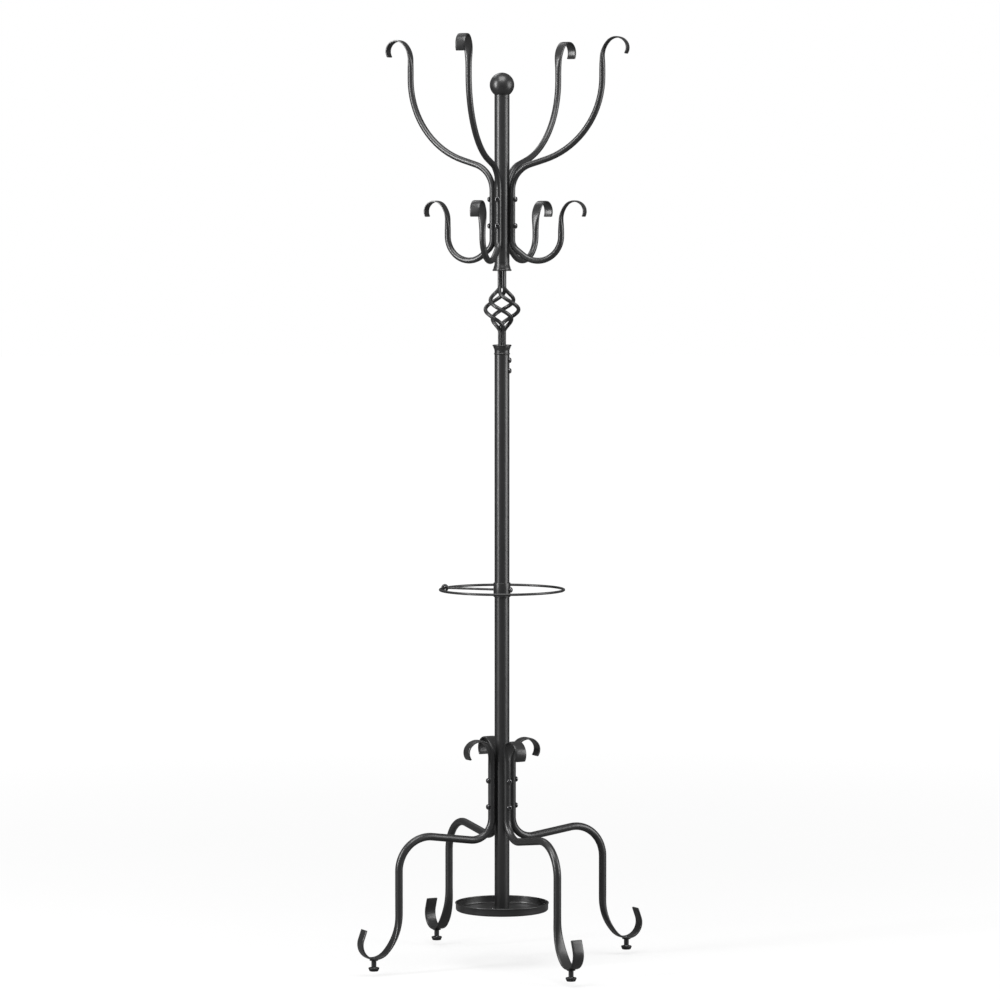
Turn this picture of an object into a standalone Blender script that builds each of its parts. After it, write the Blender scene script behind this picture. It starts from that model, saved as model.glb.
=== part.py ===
"""A standing coat rack of bent and flattened steel tube.

A round post in two lengths joins at a twisted basket. Four hook bars are bolted to the upper
post and four legs to the lower post. The lower post also carries an umbrella ring and a drip
tray, and each leg stands on a screw-adjusted foot.

Metres, +Z up. The floor is Z = 0 and the post stands on the Z axis. The legs lie along X and Y.
"""

import math

import bmesh
import bpy
from mathutils import Matrix

# Fits
GAP = 0.0003  # between faces that touch on the real rack
DRILL_PLAY = 0.0003  # radial play of a screw in its hole
PRESS_PLAY = 0.0003  # radial play of a plug in the post

# Post, from the floor up
POST_RADIUS = 0.0150
POST_WALL = 0.0015
POST_BOTTOM = 0.1022
LOWER_POST_LENGTH = 1.0903
LOWER_COLLAR_HEIGHT = 0.0200
LOWER_BUNDLE_LENGTH = 0.0264  # straight rods between the lower collar and the basket
BASKET_HEIGHT = 0.0880
UPPER_BUNDLE_LENGTH = 0.0294
UPPER_COLLAR_HEIGHT = 0.0159
UPPER_POST_LENGTH = 0.3268
POST_STEPS = 16

# Finial
BALL_RADIUS = 0.0240
BALL_CENTRE_ABOVE_POST = 0.0192
BALL_STEPS = 8
PLUG_LENGTH = 0.0180

# Collars that hold the rods
COLLAR_FLARE_PROUD = 0.0038
COLLAR_LIP = 0.0032
COLLAR_EDGE = 0.0008
COLLAR_WAIST = 0.0010  # how far the waist under the flare stands proud of the post
BEAD_PROUD = 0.0009
BEAD_HEIGHT = 0.0022
BEAD_SLOPE = 0.0012
SPIGOT_LENGTH = 0.0480

# Basket: rods bundled into a collar at each end, swelling and turning between
BASKET_RODS = 4
ROD_RADIUS = 0.0038
ROD_SOCKET_DEPTH = 0.0080
BASKET_RADIUS = 0.0325
BASKET_SWELL = 1.60
BASKET_START = math.radians(3.0)
BASKET_TWIST = math.radians(280.0)
ROD_STEPS = 18

# Screws
SCREW_RADIUS = 0.0030
SCREW_HEAD_RADIUS = 0.0053
SCREW_HEAD_HEIGHT = 0.0036
SCREW_SOCKET_RADIUS = 0.0023
SCREW_SOCKET_DEPTH = 0.0020
SCREW_SOCKET_RIM = 0.0007
SCREW_TIP_INSIDE = 0.0050  # how far a tip reaches past the post's inner wall
JOINT_SCREW_DEPTH = 0.0090
NUT_RADIUS = 0.0048
NUT_LENGTH = 0.0046
SCREW_STEPS = 8

# Hook bars: one tube each, flattened and rolled at both ends
HOOK_TUBE_RADIUS = 0.0060
HOOK_TUBE_WALL = 0.0015
HOOK_ANGLES = [math.radians(angle) for angle in (28.0, 122.0, 224.0, 312.0)]
HOOK_RUN_LIFT = 0.0448  # from the upper post's end to the clamped run
HOOK_RUN_LENGTH = 0.0960
HOOK_SCREW_LIFTS = (0.0270, 0.0788)
ARM_REACH = 0.2060  # post axis to the upright part of the upper arm
ARM_RISE = 0.2975  # from the clamped run to the crest
ARM_LEAVE_RADIUS = 0.0530
ARM_LEAVE_ANGLE = 73.0
ARM_SWEEP_RADIUS = 0.1670
PEG_REACH = 0.1220  # post axis to the upright part of the lower hook
PEG_RISE = 0.0740  # from the bottom of the clamped run to the crest
PEG_LEAVE_RADIUS = 0.0250
PEG_LEAVE_ANGLE = 52.0
PEG_BOWL_RADIUS = 0.0480
HOOK_LEAD_RADIUS = 0.0450
ARM_LEAD_ANGLE = 45.0
PEG_LEAD_ANGLE = 40.0
ARM_CURL_RADIUS = 0.0230
PEG_CURL_RADIUS = 0.0220
HOOK_CURL_ANGLE = 90.0
HOOK_TIP_RADIUS = 0.0195
HOOK_TIP_ANGLE = 80.0
HOOK_LEAD_FLAT_ANGLE = 10.0
HOOK_FLATTENING = 0.0480

# Legs: one tube each, flattened and rolled at both ends
LEG_TUBE_RADIUS = 0.0075
LEG_TUBE_WALL = 0.0020
LEG_COUNT = 4
LEG_RUN_BOTTOM = 0.2830
LEG_RUN_LENGTH = 0.1150
LEG_SCREW_LIFTS = (0.0222, 0.0738)
LEG_REACH = 0.2270  # post axis to the upright part of the leg
LEG_LEAD_RADIUS = 0.0450
LEG_LEAD_ANGLE = 40.0
LEG_CURL_RADIUS = 0.0265
LEG_CURL_ANGLE = 100.0
LEG_CURL_ROUND_ANGLE = 10.0  # part of the curl that is already rounding
LEG_TIP_RADIUS = 0.0200
LEG_TIP_ANGLE = 80.0
LEG_LEAVE_RADIUS = 0.0410
LEG_LEAVE_ANGLE = 98.0
LEG_ARCH_RADIUS = 0.0640
LEG_SWEEP_RADIUS = 0.1000
LEG_SWEEP_ANGLE = 45.0
LEG_HEEL_RADIUS = 0.0360
LEG_TOE_RADIUS = 0.0290
LEG_TOE_ANGLE = 110.0
LEG_TOE_STRAIGHT = 0.0200
LEG_TOP_FLATTENING = 0.0420
LEG_FOOT_FLATTENING = 0.0900

# Levelling feet
PAD_HEIGHT = 0.0070
PAD_BASE_RADIUS = 0.0088
PAD_TOP_RADIUS = 0.0106
PAD_FLOOR = 0.0020
STUD_RADIUS = 0.0030
STUD_FLANGE_RADIUS = 0.0048
STUD_FLANGE_HEIGHT = 0.0022
PAD_TO_SLEEVE = 0.0015  # bare stud between pad and sleeve
SLEEVE_RADIUS = 0.0049
SLEEVE_LENGTH = 0.0120
SLEEVE_FLANGE_RADIUS = 0.0085
SLEEVE_FLANGE_HEIGHT = 0.0015
PAD_EDGE = 0.0010
SLEEVE_STEPS = 12
FOOT_STEPS = 10

# Umbrella ring
RING_HEIGHT = 0.7320
RING_RADIUS = 0.1215
RING_WIRE_RADIUS = 0.0025
RING_ANGLE = math.radians(130.0)
SPOKE_RADIUS = 0.0023
RING_COLLAR_HEIGHT = 0.0280
RING_COLLAR_WALL = 0.0018
CAP_NUT_RADIUS = 0.0060
CAP_NUT_HEIGHT = 0.0052
SPOKE_THREAD = 0.0035
EYE_ANGLE = math.radians(330.0)
EYE_STEPS = 16
RING_STEPS = 40
RING_SIDES = 6

# Joint screws
JOINT_SCREW_ANGLE = math.radians(-46.0)
JOINT_SCREW_DROPS = (0.0310, 0.0105)  # below the joint

# Drip tray
TRAY_RADIUS = 0.0925
TRAY_WALL = 0.0012
TRAY_HEIGHT = 0.0162
TRAY_RIM_BEAD = 0.0012
TRAY_CORNER = 0.0035
TRAY_STEPS = 28
FLANGE_PROUD = 0.0090
FLANGE_THICKNESS = 0.0015
TRAY_SCREWS = 3
TRAY_SCREW_ANGLE = math.radians(172.0)
TRAY_SCREW_SET_OUT = 0.0042  # from the post's surface
TRAY_SCREW_RADIUS = 0.0015
TRAY_SCREW_HEAD_RADIUS = 0.0030
TRAY_SCREW_HEAD_HEIGHT = 0.0022
TRAY_SCREW_LENGTH = 0.0065

# How finely bent tube is drawn
TUBE_SIDES = 8
SAGITTA = 0.0008
FLAT_ROUNDING = 0.45
LONGEST_STRAIGHT = 0.060

# Sizes that follow from those above
JOINT_Z = POST_BOTTOM + LOWER_POST_LENGTH
LOWER_COLLAR_TOP = JOINT_Z + LOWER_COLLAR_HEIGHT
BASKET_BOTTOM = LOWER_COLLAR_TOP + LOWER_BUNDLE_LENGTH
BASKET_TOP = BASKET_BOTTOM + BASKET_HEIGHT
UPPER_COLLAR_BOTTOM = BASKET_TOP + UPPER_BUNDLE_LENGTH
UPPER_POST_BOTTOM = UPPER_COLLAR_BOTTOM + UPPER_COLLAR_HEIGHT
POST_TOP = UPPER_POST_BOTTOM + UPPER_POST_LENGTH
BUNDLE_RADIUS = ROD_RADIUS * math.sqrt(2.0) + GAP / 2.0  # post axis to a bundled rod's middle
ROD_SOCKET_RADIUS = BUNDLE_RADIUS + ROD_RADIUS + PRESS_PLAY
HOOK_RUN_BOTTOM = UPPER_POST_BOTTOM + HOOK_RUN_LIFT
HOOK_RUN_TOP = HOOK_RUN_BOTTOM + HOOK_RUN_LENGTH
HOOK_SCREW_HEIGHTS = [HOOK_RUN_BOTTOM + lift for lift in HOOK_SCREW_LIFTS]
ARM_TOP = HOOK_RUN_TOP + ARM_RISE
PEG_TOP = HOOK_RUN_BOTTOM + PEG_RISE
LEG_RUN_TOP = LEG_RUN_BOTTOM + LEG_RUN_LENGTH
LEG_SCREW_HEIGHTS = [LEG_RUN_BOTTOM + lift for lift in LEG_SCREW_LIFTS]
JOINT_SCREW_HEIGHTS = [JOINT_Z - drop for drop in JOINT_SCREW_DROPS]
POST_BORE = POST_RADIUS - POST_WALL
COLLAR_FLARE_RADIUS = POST_RADIUS + COLLAR_FLARE_PROUD
FLANGE_RADIUS = POST_RADIUS + FLANGE_PROUD
TRAY_SCREW_CIRCLE = POST_RADIUS + TRAY_SCREW_SET_OUT
POST_TURN = math.pi / POST_STEPS  # so that no screw meets an edge of the post
SPIGOT_RADIUS = POST_BORE * math.cos(math.pi / POST_STEPS) - PRESS_PLAY  # clears the flats
HOOK_RUN_RADIUS = POST_RADIUS + GAP + HOOK_TUBE_RADIUS
LEG_RUN_RADIUS = POST_RADIUS + GAP + LEG_TUBE_RADIUS
SLEEVE_BOTTOM = PAD_HEIGHT + PAD_TO_SLEEVE
SLEEVE_TOP = SLEEVE_BOTTOM + SLEEVE_LENGTH + SLEEVE_FLANGE_HEIGHT
STRIP_MIDDLE = SLEEVE_TOP + GAP + LEG_TUBE_WALL
TRAY_TOP_FACE = POST_BOTTOM - GAP - FLANGE_THICKNESS - GAP
CAP_NUT_SEAT = POST_RADIUS + GAP + RING_COLLAR_WALL + GAP


def clear_scene():
    for obj in list(bpy.data.objects):
        bpy.data.objects.remove(obj, do_unlink=True)


def make_collection(name):
    collection = bpy.data.collections.new(name)
    bpy.context.scene.collection.children.link(collection)
    return collection


def make_material(name, colour, roughness, metallic):
    material = bpy.data.materials.new(name)
    material.use_nodes = True
    shader = material.node_tree.nodes["Principled BSDF"]
    shader.inputs["Base Color"].default_value = (*colour, 1.0)
    shader.inputs["Roughness"].default_value = roughness
    shader.inputs["Metallic"].default_value = metallic
    return material


def add_object(name, mesh, collection, material=None):
    """Links a new object, and gives its mesh the material."""
    obj = bpy.data.objects.new(name, mesh)
    collection.objects.link(obj)
    if material and not mesh.materials:
        mesh.materials.append(material)
    return obj


def hide_cutter(obj):
    obj.hide_render = True
    obj.display_type = "WIRE"
    return obj


def bake(obj):
    """The object's evaluated mesh, on its own, after which the object is removed."""
    bpy.context.view_layer.update()
    evaluated = obj.evaluated_get(bpy.context.evaluated_depsgraph_get())
    mesh = bpy.data.meshes.new_from_object(evaluated)
    bpy.data.objects.remove(obj, do_unlink=True)
    return mesh


def turned(name, profile, collection, material, steps, ring=False):
    """Turns a profile of (radius, height) points, which runs down its outer side, round Z."""
    mesh = bpy.data.meshes.new(name)
    points = [(radius, 0.0, height) for radius, height in profile]
    edges = [(i, i + 1) for i in range(len(points) - 1)]
    if ring:
        edges.append((len(points) - 1, 0))
    mesh.from_pydata(points, edges, [])
    obj = add_object(name, mesh, collection, material)
    screw = obj.modifiers.new("Turn", "SCREW")
    screw.axis = "Z"
    screw.angle = 2.0 * math.pi
    screw.steps = steps
    screw.render_steps = steps
    screw.use_merge_vertices = True
    screw.merge_threshold = 0.00001
    screw.use_smooth_shade = False
    return obj


def boolean(obj, operation, other):
    modifier = obj.modifiers.new(operation.title(), "BOOLEAN")
    modifier.operation = operation
    modifier.solver = "EXACT"
    modifier.object = other
    return obj


def radial_frame(angle, height):
    """The frame of a radial piece: its Z points away from the post's axis at the angle."""
    turn = Matrix.Rotation(angle, 4, "Z") @ Matrix.Rotation(math.pi / 2.0, 4, "Y")
    return Matrix.Translation((0.0, 0.0, height)) @ turn


def rods(name, frames, inner, outer, radius, sides, collection):
    """One cutter of several rods, each from inner to outer along its own frame's Z."""
    shape = bmesh.new()
    for frame in frames:
        place = frame @ Matrix.Translation((0.0, 0.0, (inner + outer) / 2.0))
        bmesh.ops.create_cone(
            shape,
            cap_ends=True,
            segments=sides,
            radius1=radius,
            radius2=radius,
            depth=outer - inner,
            matrix=place,
        )
    mesh = bpy.data.meshes.new(name)
    shape.to_mesh(mesh)
    shape.free()
    return hide_cutter(add_object(name, mesh, collection))


# Bent tube ------------------------------------------------------------------------------------


def bend_path(start, heading, moves):
    """Stations (radius, height, heading) along moves, each a straight length or a bend.

    A move is (length,) or (radius, degrees). A positive bend turns from +radius towards +height.
    """
    radius, height = start
    heading = math.radians(heading)
    stations = [(radius, height, heading)]
    for move in moves:
        if len(move) == 1:
            radius += move[0] * math.cos(heading)
            height += move[0] * math.sin(heading)
            stations.append((radius, height, heading))
            continue
        bend, angle = move[0], math.radians(move[1])
        side = math.copysign(1.0, angle)
        centre_r = radius - side * bend * math.sin(heading)
        centre_z = height + side * bend * math.cos(heading)
        steps = math.ceil(abs(angle) / (2.0 * math.acos(1.0 - SAGITTA / bend)))
        for i in range(1, steps + 1):
            now = heading + angle * i / steps
            radius = centre_r + side * bend * math.sin(now)
            height = centre_z - side * bend * math.cos(now)
            stations.append((radius, height, now))
        heading += angle
    return stations


def join_paths(back, onward):
    """One path that runs back along the first and then out along the second."""
    reverse = [(r, z, heading + math.pi) for r, z, heading in reversed(back)]
    return reverse + onward[1:]


def split_long(stations, longest):
    """Adds stations along any straight stretch longer than the length given."""
    found = [stations[0]]
    for before, after in zip(stations, stations[1:]):
        length = math.dist(before[:2], after[:2])
        straight = abs(before[2] - after[2]) < 1e-6
        parts = math.ceil(length / longest) if straight else 1
        for i in range(1, parts + 1):
            share = i / parts
            found.append(tuple(a + (b - a) * share for a, b in zip(before, after)))
    return found


def distances(stations):
    total = [0.0]
    for before, after in zip(stations, stations[1:]):
        total.append(total[-1] + math.dist(before[:2], after[:2]))
    return total


def flatness(distance, flat, change):
    """1 in the flat end of a tube, 0 where it is round, and smooth between."""
    share = min(max((distance - flat) / change, 0.0), 1.0)
    return 1.0 - share * share * (3.0 - 2.0 * share)


def tube_section(tube_radius, wall, flat):
    """Points (across, through) of a tube's outline, round at flat 0 and rolled flat at flat 1."""
    half_width = tube_radius + flat * (math.pi * tube_radius / 2.0 - tube_radius)
    half_thick = tube_radius + flat * (wall - tube_radius)
    power = 1.0 - flat * (1.0 - FLAT_ROUNDING)
    peak = math.cos(math.pi / TUBE_SIDES) ** power
    points = []
    for i in range(TUBE_SIDES):
        turn = 2.0 * math.pi * (i + 0.5) / TUBE_SIDES
        across = math.copysign(abs(math.cos(turn)) ** power, math.cos(turn))
        through = math.copysign(abs(math.sin(turn)) ** power, math.sin(turn))
        points.append((half_width * across / peak, half_thick * through / peak))
    return points


def bent_tube(name, stations, tube_radius, wall, flats, changes):
    """Lofts a solid tube along stations, from one rolled end through round to the other."""
    shape = bmesh.new()
    along = distances(stations)
    rings = []
    for (r, z, heading), distance in zip(stations, along):
        flat = max(
            flatness(distance, flats[0], changes[0]),
            flatness(along[-1] - distance, flats[1], changes[1]),
        )
        normal_r, normal_z = -math.sin(heading), math.cos(heading)
        ring = []
        for across, through in tube_section(tube_radius, wall, flat):
            point = (r + through * normal_r, across, z + through * normal_z)
            ring.append(shape.verts.new(point))
        rings.append(ring)
    for before, after in zip(rings, rings[1:]):
        for i in range(TUBE_SIDES):
            k = (i + 1) % TUBE_SIDES
            shape.faces.new((before[i], before[k], after[k], after[i]))
    shape.faces.new(reversed(rings[0]))
    shape.faces.new(rings[-1])
    bmesh.ops.recalc_face_normals(shape, faces=shape.faces[:])
    mesh = bpy.data.meshes.new(name)
    shape.to_mesh(mesh)
    shape.free()
    return mesh


def hook_paths():
    """The upper arm and the lower hook, both from the middle of the clamped run."""
    middle = (HOOK_RUN_BOTTOM + HOOK_RUN_TOP) / 2.0
    strip = HOOK_TUBE_WALL
    lean = math.radians(90.0 - ARM_LEAVE_ANGLE)
    bends = (ARM_LEAVE_RADIUS + ARM_SWEEP_RADIUS) * (1.0 - math.sin(lean))
    slope = (ARM_REACH - HOOK_RUN_RADIUS - bends) / math.cos(lean)
    risen = (ARM_LEAVE_RADIUS + ARM_SWEEP_RADIUS) * math.cos(lean) + slope * math.sin(lean)
    lead = math.radians(ARM_LEAD_ANGLE)
    crest = HOOK_LEAD_RADIUS * math.sin(lead) + ARM_CURL_RADIUS * (1.0 - math.cos(lead))
    upright = ARM_TOP - strip - crest - HOOK_RUN_TOP - risen
    arm = bend_path(
        (HOOK_RUN_RADIUS, middle),
        90.0,
        [
            (HOOK_RUN_TOP - middle,),
            (ARM_LEAVE_RADIUS, -ARM_LEAVE_ANGLE),
            (slope,),
            (ARM_SWEEP_RADIUS, ARM_LEAVE_ANGLE),
            (upright,),
            (HOOK_LEAD_RADIUS, -ARM_LEAD_ANGLE),
            (ARM_CURL_RADIUS, -HOOK_CURL_ANGLE),
            (HOOK_TIP_RADIUS, -HOOK_TIP_ANGLE),
        ],
    )
    dip = math.radians(90.0 - PEG_LEAVE_ANGLE)
    bends = PEG_LEAVE_RADIUS * (1.0 - math.sin(dip)) + PEG_BOWL_RADIUS * (1.0 + math.sin(dip))
    slope = (PEG_REACH - HOOK_RUN_RADIUS - bends) / math.cos(dip)
    fallen = (PEG_LEAVE_RADIUS - PEG_BOWL_RADIUS) * math.cos(dip) + slope * math.sin(dip)
    lead = math.radians(PEG_LEAD_ANGLE)
    crest = HOOK_LEAD_RADIUS * math.sin(lead) + PEG_CURL_RADIUS * (1.0 - math.cos(lead))
    upright = PEG_TOP - strip - crest - (HOOK_RUN_BOTTOM - fallen)
    peg = bend_path(
        (HOOK_RUN_RADIUS, middle),
        -90.0,
        [
            (middle - HOOK_RUN_BOTTOM,),
            (PEG_LEAVE_RADIUS, PEG_LEAVE_ANGLE),
            (slope,),
            (PEG_BOWL_RADIUS, 180.0 - PEG_LEAVE_ANGLE),
            (upright,),
            (HOOK_LEAD_RADIUS, -PEG_LEAD_ANGLE),
            (PEG_CURL_RADIUS, -HOOK_CURL_ANGLE),
            (HOOK_TIP_RADIUS, -HOOK_TIP_ANGLE),
        ],
    )
    return arm, peg


def leg_paths():
    """The scroll above the clamped run and the leg below it, and the foot's radius."""
    middle = (LEG_RUN_BOTTOM + LEG_RUN_TOP) / 2.0
    scroll = bend_path(
        (LEG_RUN_RADIUS, middle),
        90.0,
        [
            (LEG_RUN_TOP - middle,),
            (LEG_LEAD_RADIUS, -LEG_LEAD_ANGLE),
            (LEG_CURL_RADIUS, -LEG_CURL_ANGLE),
            (LEG_TIP_RADIUS, -LEG_TIP_ANGLE),
        ],
    )
    rise = math.radians(LEG_LEAVE_ANGLE - 90.0)
    bends = (LEG_LEAVE_RADIUS + LEG_ARCH_RADIUS) * (1.0 + math.sin(rise))
    span = (LEG_REACH - LEG_RUN_RADIUS - bends) / math.cos(rise)
    shoulder = LEG_RUN_BOTTOM - (LEG_LEAVE_RADIUS + LEG_ARCH_RADIUS) * math.cos(rise)
    shoulder += span * math.sin(rise)
    sweep = math.radians(LEG_SWEEP_ANGLE)
    drop = LEG_SWEEP_RADIUS * math.sin(sweep) + LEG_HEEL_RADIUS * (1.0 - math.sin(sweep))
    shin = shoulder - drop - STRIP_MIDDLE
    foot = LEG_REACH + LEG_SWEEP_RADIUS * (1.0 - math.cos(sweep))
    foot += LEG_HEEL_RADIUS * math.cos(sweep)
    leg = bend_path(
        (LEG_RUN_RADIUS, middle),
        -90.0,
        [
            (middle - LEG_RUN_BOTTOM,),
            (LEG_LEAVE_RADIUS, LEG_LEAVE_ANGLE),
            (span,),
            (LEG_ARCH_RADIUS, -LEG_LEAVE_ANGLE),
            (shin,),
            (LEG_SWEEP_RADIUS, LEG_SWEEP_ANGLE),
            (LEG_HEEL_RADIUS, 90.0 - LEG_SWEEP_ANGLE),
            (LEG_TOE_RADIUS, LEG_TOE_ANGLE),
            (LEG_TOE_STRAIGHT,),
        ],
    )
    return scroll, leg, foot


def arc_length(*bends):
    return sum(radius * math.radians(angle) for radius, angle in bends)


# Screws ---------------------------------------------------------------------------------------


def button_screw_mesh(name, length, collection, cutters, material):
    """A button-head socket screw whose head seats at Z = 0 and whose shank points down."""
    head = SCREW_HEAD_RADIUS
    tall = SCREW_HEAD_HEIGHT
    profile = [
        (0.0, tall),
        (SCREW_SOCKET_RADIUS + SCREW_SOCKET_RIM, tall),
        (head, tall * 0.35),
        (head, 0.0),
        (SCREW_RADIUS, 0.0),
        (SCREW_RADIUS, -length),
        (0.0, -length),
    ]
    blank = turned(name, profile, collection, material, SCREW_STEPS)
    socket = rods(
        name + "_socket",
        [Matrix.Identity(4)],
        tall - SCREW_SOCKET_DEPTH,
        tall + SCREW_SOCKET_DEPTH,
        SCREW_SOCKET_RADIUS,
        6,
        cutters,
    )
    boolean(blank, "DIFFERENCE", socket)
    mesh = bake(blank)
    bpy.data.objects.remove(socket, do_unlink=True)
    return mesh


def place_radial(name, mesh, seat, angle, height, collection, material):
    """Sets a piece that points away from the post, with its seat at a distance from the axis."""
    obj = add_object(name, mesh, collection, material)
    obj.location = (seat * math.cos(angle), seat * math.sin(angle), height)
    obj.rotation_euler = (0.0, math.pi / 2.0, angle)
    return obj


# Post -----------------------------------------------------------------------------------------


def post_tube(name, bottom, top, nut_frames, collection, cutters, material):
    """A length of post with nuts welded inside it, drilled for the screws in those nuts."""
    profile = [(POST_RADIUS, top), (POST_RADIUS, bottom), (POST_BORE, bottom), (POST_BORE, top)]
    tube = turned(name, profile, collection, material, POST_STEPS, ring=True)
    tube.rotation_euler.z = POST_TURN
    nuts = rods(
        name + "_nuts",
        nut_frames,
        POST_BORE - NUT_LENGTH,
        POST_BORE + POST_WALL / 2.0,
        NUT_RADIUS,
        SCREW_STEPS,
        cutters,
    )
    boolean(tube, "UNION", nuts)
    drill = rods(
        name + "_drill",
        nut_frames,
        POST_BORE - NUT_LENGTH - POST_WALL,
        POST_RADIUS + POST_WALL,
        SCREW_RADIUS + DRILL_PLAY,
        SCREW_STEPS,
        cutters,
    )
    boolean(tube, "DIFFERENCE", drill)
    return tube


def upper_post(collection, cutters, material):
    nuts = [radial_frame(a, z) for a in HOOK_ANGLES for z in HOOK_SCREW_HEIGHTS]
    return post_tube(
        "upper_post", UPPER_POST_BOTTOM, POST_TOP, nuts, collection, cutters, material
    )


def lower_post(collection, cutters, material):
    nuts = [radial_frame(a, z) for a in leg_angles() for z in LEG_SCREW_HEIGHTS]
    tube = post_tube(
        "lower_post", POST_BOTTOM, JOINT_Z - GAP, nuts, collection, cutters, material
    )
    joint_holes = rods(
        "lower_post_joint_drill",
        [radial_frame(JOINT_SCREW_ANGLE, z) for z in JOINT_SCREW_HEIGHTS],
        POST_RADIUS / 2.0,
        POST_RADIUS + POST_WALL,
        SCREW_RADIUS + DRILL_PLAY,
        SCREW_STEPS,
        cutters,
    )
    boolean(tube, "DIFFERENCE", joint_holes)
    spoke_hole = rods(
        "lower_post_spoke_drill",
        [radial_frame(RING_ANGLE, RING_HEIGHT)],
        -POST_RADIUS - POST_WALL,
        POST_RADIUS + POST_WALL,
        SPOKE_RADIUS + DRILL_PLAY,
        SCREW_STEPS,
        cutters,
    )
    return boolean(tube, "DIFFERENCE", spoke_hole)


def ball_finial(collection, material):
    """A ball with a flat seat on the post's end and a plug inside it."""
    centre = POST_TOP + BALL_CENTRE_ABOVE_POST
    seat = POST_TOP + GAP
    seat_angle = math.acos((centre - seat) / BALL_RADIUS)
    profile = []
    for i in range(BALL_STEPS + 1):
        polar = (math.pi - seat_angle) * i / BALL_STEPS
        radius = BALL_RADIUS * math.sin(polar)
        profile.append((radius, centre + BALL_RADIUS * math.cos(polar)))
    profile += [(SPIGOT_RADIUS, seat), (SPIGOT_RADIUS, seat - PLUG_LENGTH)]
    profile += [(0.0, seat - PLUG_LENGTH)]
    return turned("ball_finial", profile, collection, material, POST_STEPS)


def upper_collar(collection, material):
    """The flared collar under the upper post, plugged into it and bored for the rods."""
    top = UPPER_POST_BOTTOM - GAP
    bottom = UPPER_COLLAR_BOTTOM
    flare = COLLAR_FLARE_RADIUS
    depth = bottom + ROD_SOCKET_DEPTH + GAP
    profile = [
        (0.0, top + PLUG_LENGTH),
        (SPIGOT_RADIUS, top + PLUG_LENGTH),
        (SPIGOT_RADIUS, top),
        (POST_RADIUS, top),
        (POST_RADIUS + COLLAR_WAIST, bottom + 2.0 * COLLAR_LIP),
        (flare - COLLAR_EDGE, bottom + COLLAR_LIP + COLLAR_EDGE),
        (flare, bottom + COLLAR_LIP),
        (flare, bottom + COLLAR_EDGE),
        (flare - COLLAR_EDGE, bottom),
        (ROD_SOCKET_RADIUS, bottom),
        (ROD_SOCKET_RADIUS, depth),
        (0.0, depth),
    ]
    return turned("upper_collar", profile, collection, material, POST_STEPS)


def lower_collar(collection, cutters, material):
    """The flared collar on the lower post, with a long spigot that the joint screws hold."""
    bottom = JOINT_Z
    top = LOWER_COLLAR_TOP
    flare = COLLAR_FLARE_RADIUS
    depth = top - ROD_SOCKET_DEPTH - GAP
    end = bottom - SPIGOT_LENGTH
    profile = [
        (0.0, depth),
        (ROD_SOCKET_RADIUS, depth),
        (ROD_SOCKET_RADIUS, top),
        (flare - COLLAR_EDGE, top),
        (flare, top - COLLAR_EDGE),
        (flare, top - COLLAR_LIP),
        (flare - COLLAR_EDGE, top - COLLAR_LIP - COLLAR_EDGE),
        (POST_RADIUS + COLLAR_WAIST, top - 3.0 * COLLAR_LIP),
        (POST_RADIUS, bottom + BEAD_HEIGHT + 2.0 * BEAD_SLOPE),
        (POST_RADIUS + BEAD_PROUD, bottom + BEAD_HEIGHT + BEAD_SLOPE),
        (POST_RADIUS + BEAD_PROUD, bottom + BEAD_SLOPE),
        (POST_RADIUS, bottom),
        (SPIGOT_RADIUS, bottom),
        (SPIGOT_RADIUS, end),
        (0.0, end),
    ]
    collar = turned("lower_collar", profile, collection, material, POST_STEPS)
    holes = rods(
        "lower_collar_drill",
        [radial_frame(JOINT_SCREW_ANGLE, z) for z in JOINT_SCREW_HEIGHTS],
        0.0,
        POST_RADIUS + POST_WALL,
        SCREW_RADIUS + DRILL_PLAY,
        SCREW_STEPS,
        cutters,
    )
    return boolean(collar, "DIFFERENCE", holes)


def basket_rod(index, collection, material):
    """One rod: straight out of the upper collar, round the basket and into the lower collar."""
    start = BASKET_START + index * 2.0 * math.pi / BASKET_RODS
    points = [(BUNDLE_RADIUS, start, UPPER_COLLAR_BOTTOM + ROD_SOCKET_DEPTH)]
    for i in range(ROD_STEPS + 1):
        share = i / ROD_STEPS
        swell = math.sin(math.pi * share) ** BASKET_SWELL
        radius = BUNDLE_RADIUS + (BASKET_RADIUS - BUNDLE_RADIUS) * swell
        height = BASKET_TOP + (BASKET_BOTTOM - BASKET_TOP) * share
        points.append((radius, start + BASKET_TWIST * share, height))
    points.append((BUNDLE_RADIUS, start + BASKET_TWIST, LOWER_COLLAR_TOP - ROD_SOCKET_DEPTH))
    curve = bpy.data.curves.new(f"basket_rod_{index + 1}", "CURVE")
    curve.dimensions = "3D"
    curve.twist_mode = "MINIMUM"
    curve.bevel_depth = ROD_RADIUS
    curve.bevel_resolution = 1
    curve.use_fill_caps = True
    spline = curve.splines.new("POLY")
    spline.points.add(len(points) - 1)
    for point, (radius, angle, height) in zip(spline.points, points):
        point.co = (radius * math.cos(angle), radius * math.sin(angle), height, 1.0)
    curve.materials.append(material)
    obj = bpy.data.objects.new(curve.name, curve)
    collection.objects.link(obj)
    return obj


# Sets of bars ---------------------------------------------------------------------------------


def leg_angles():
    return [2.0 * math.pi * i / LEG_COUNT for i in range(LEG_COUNT)]


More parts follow.
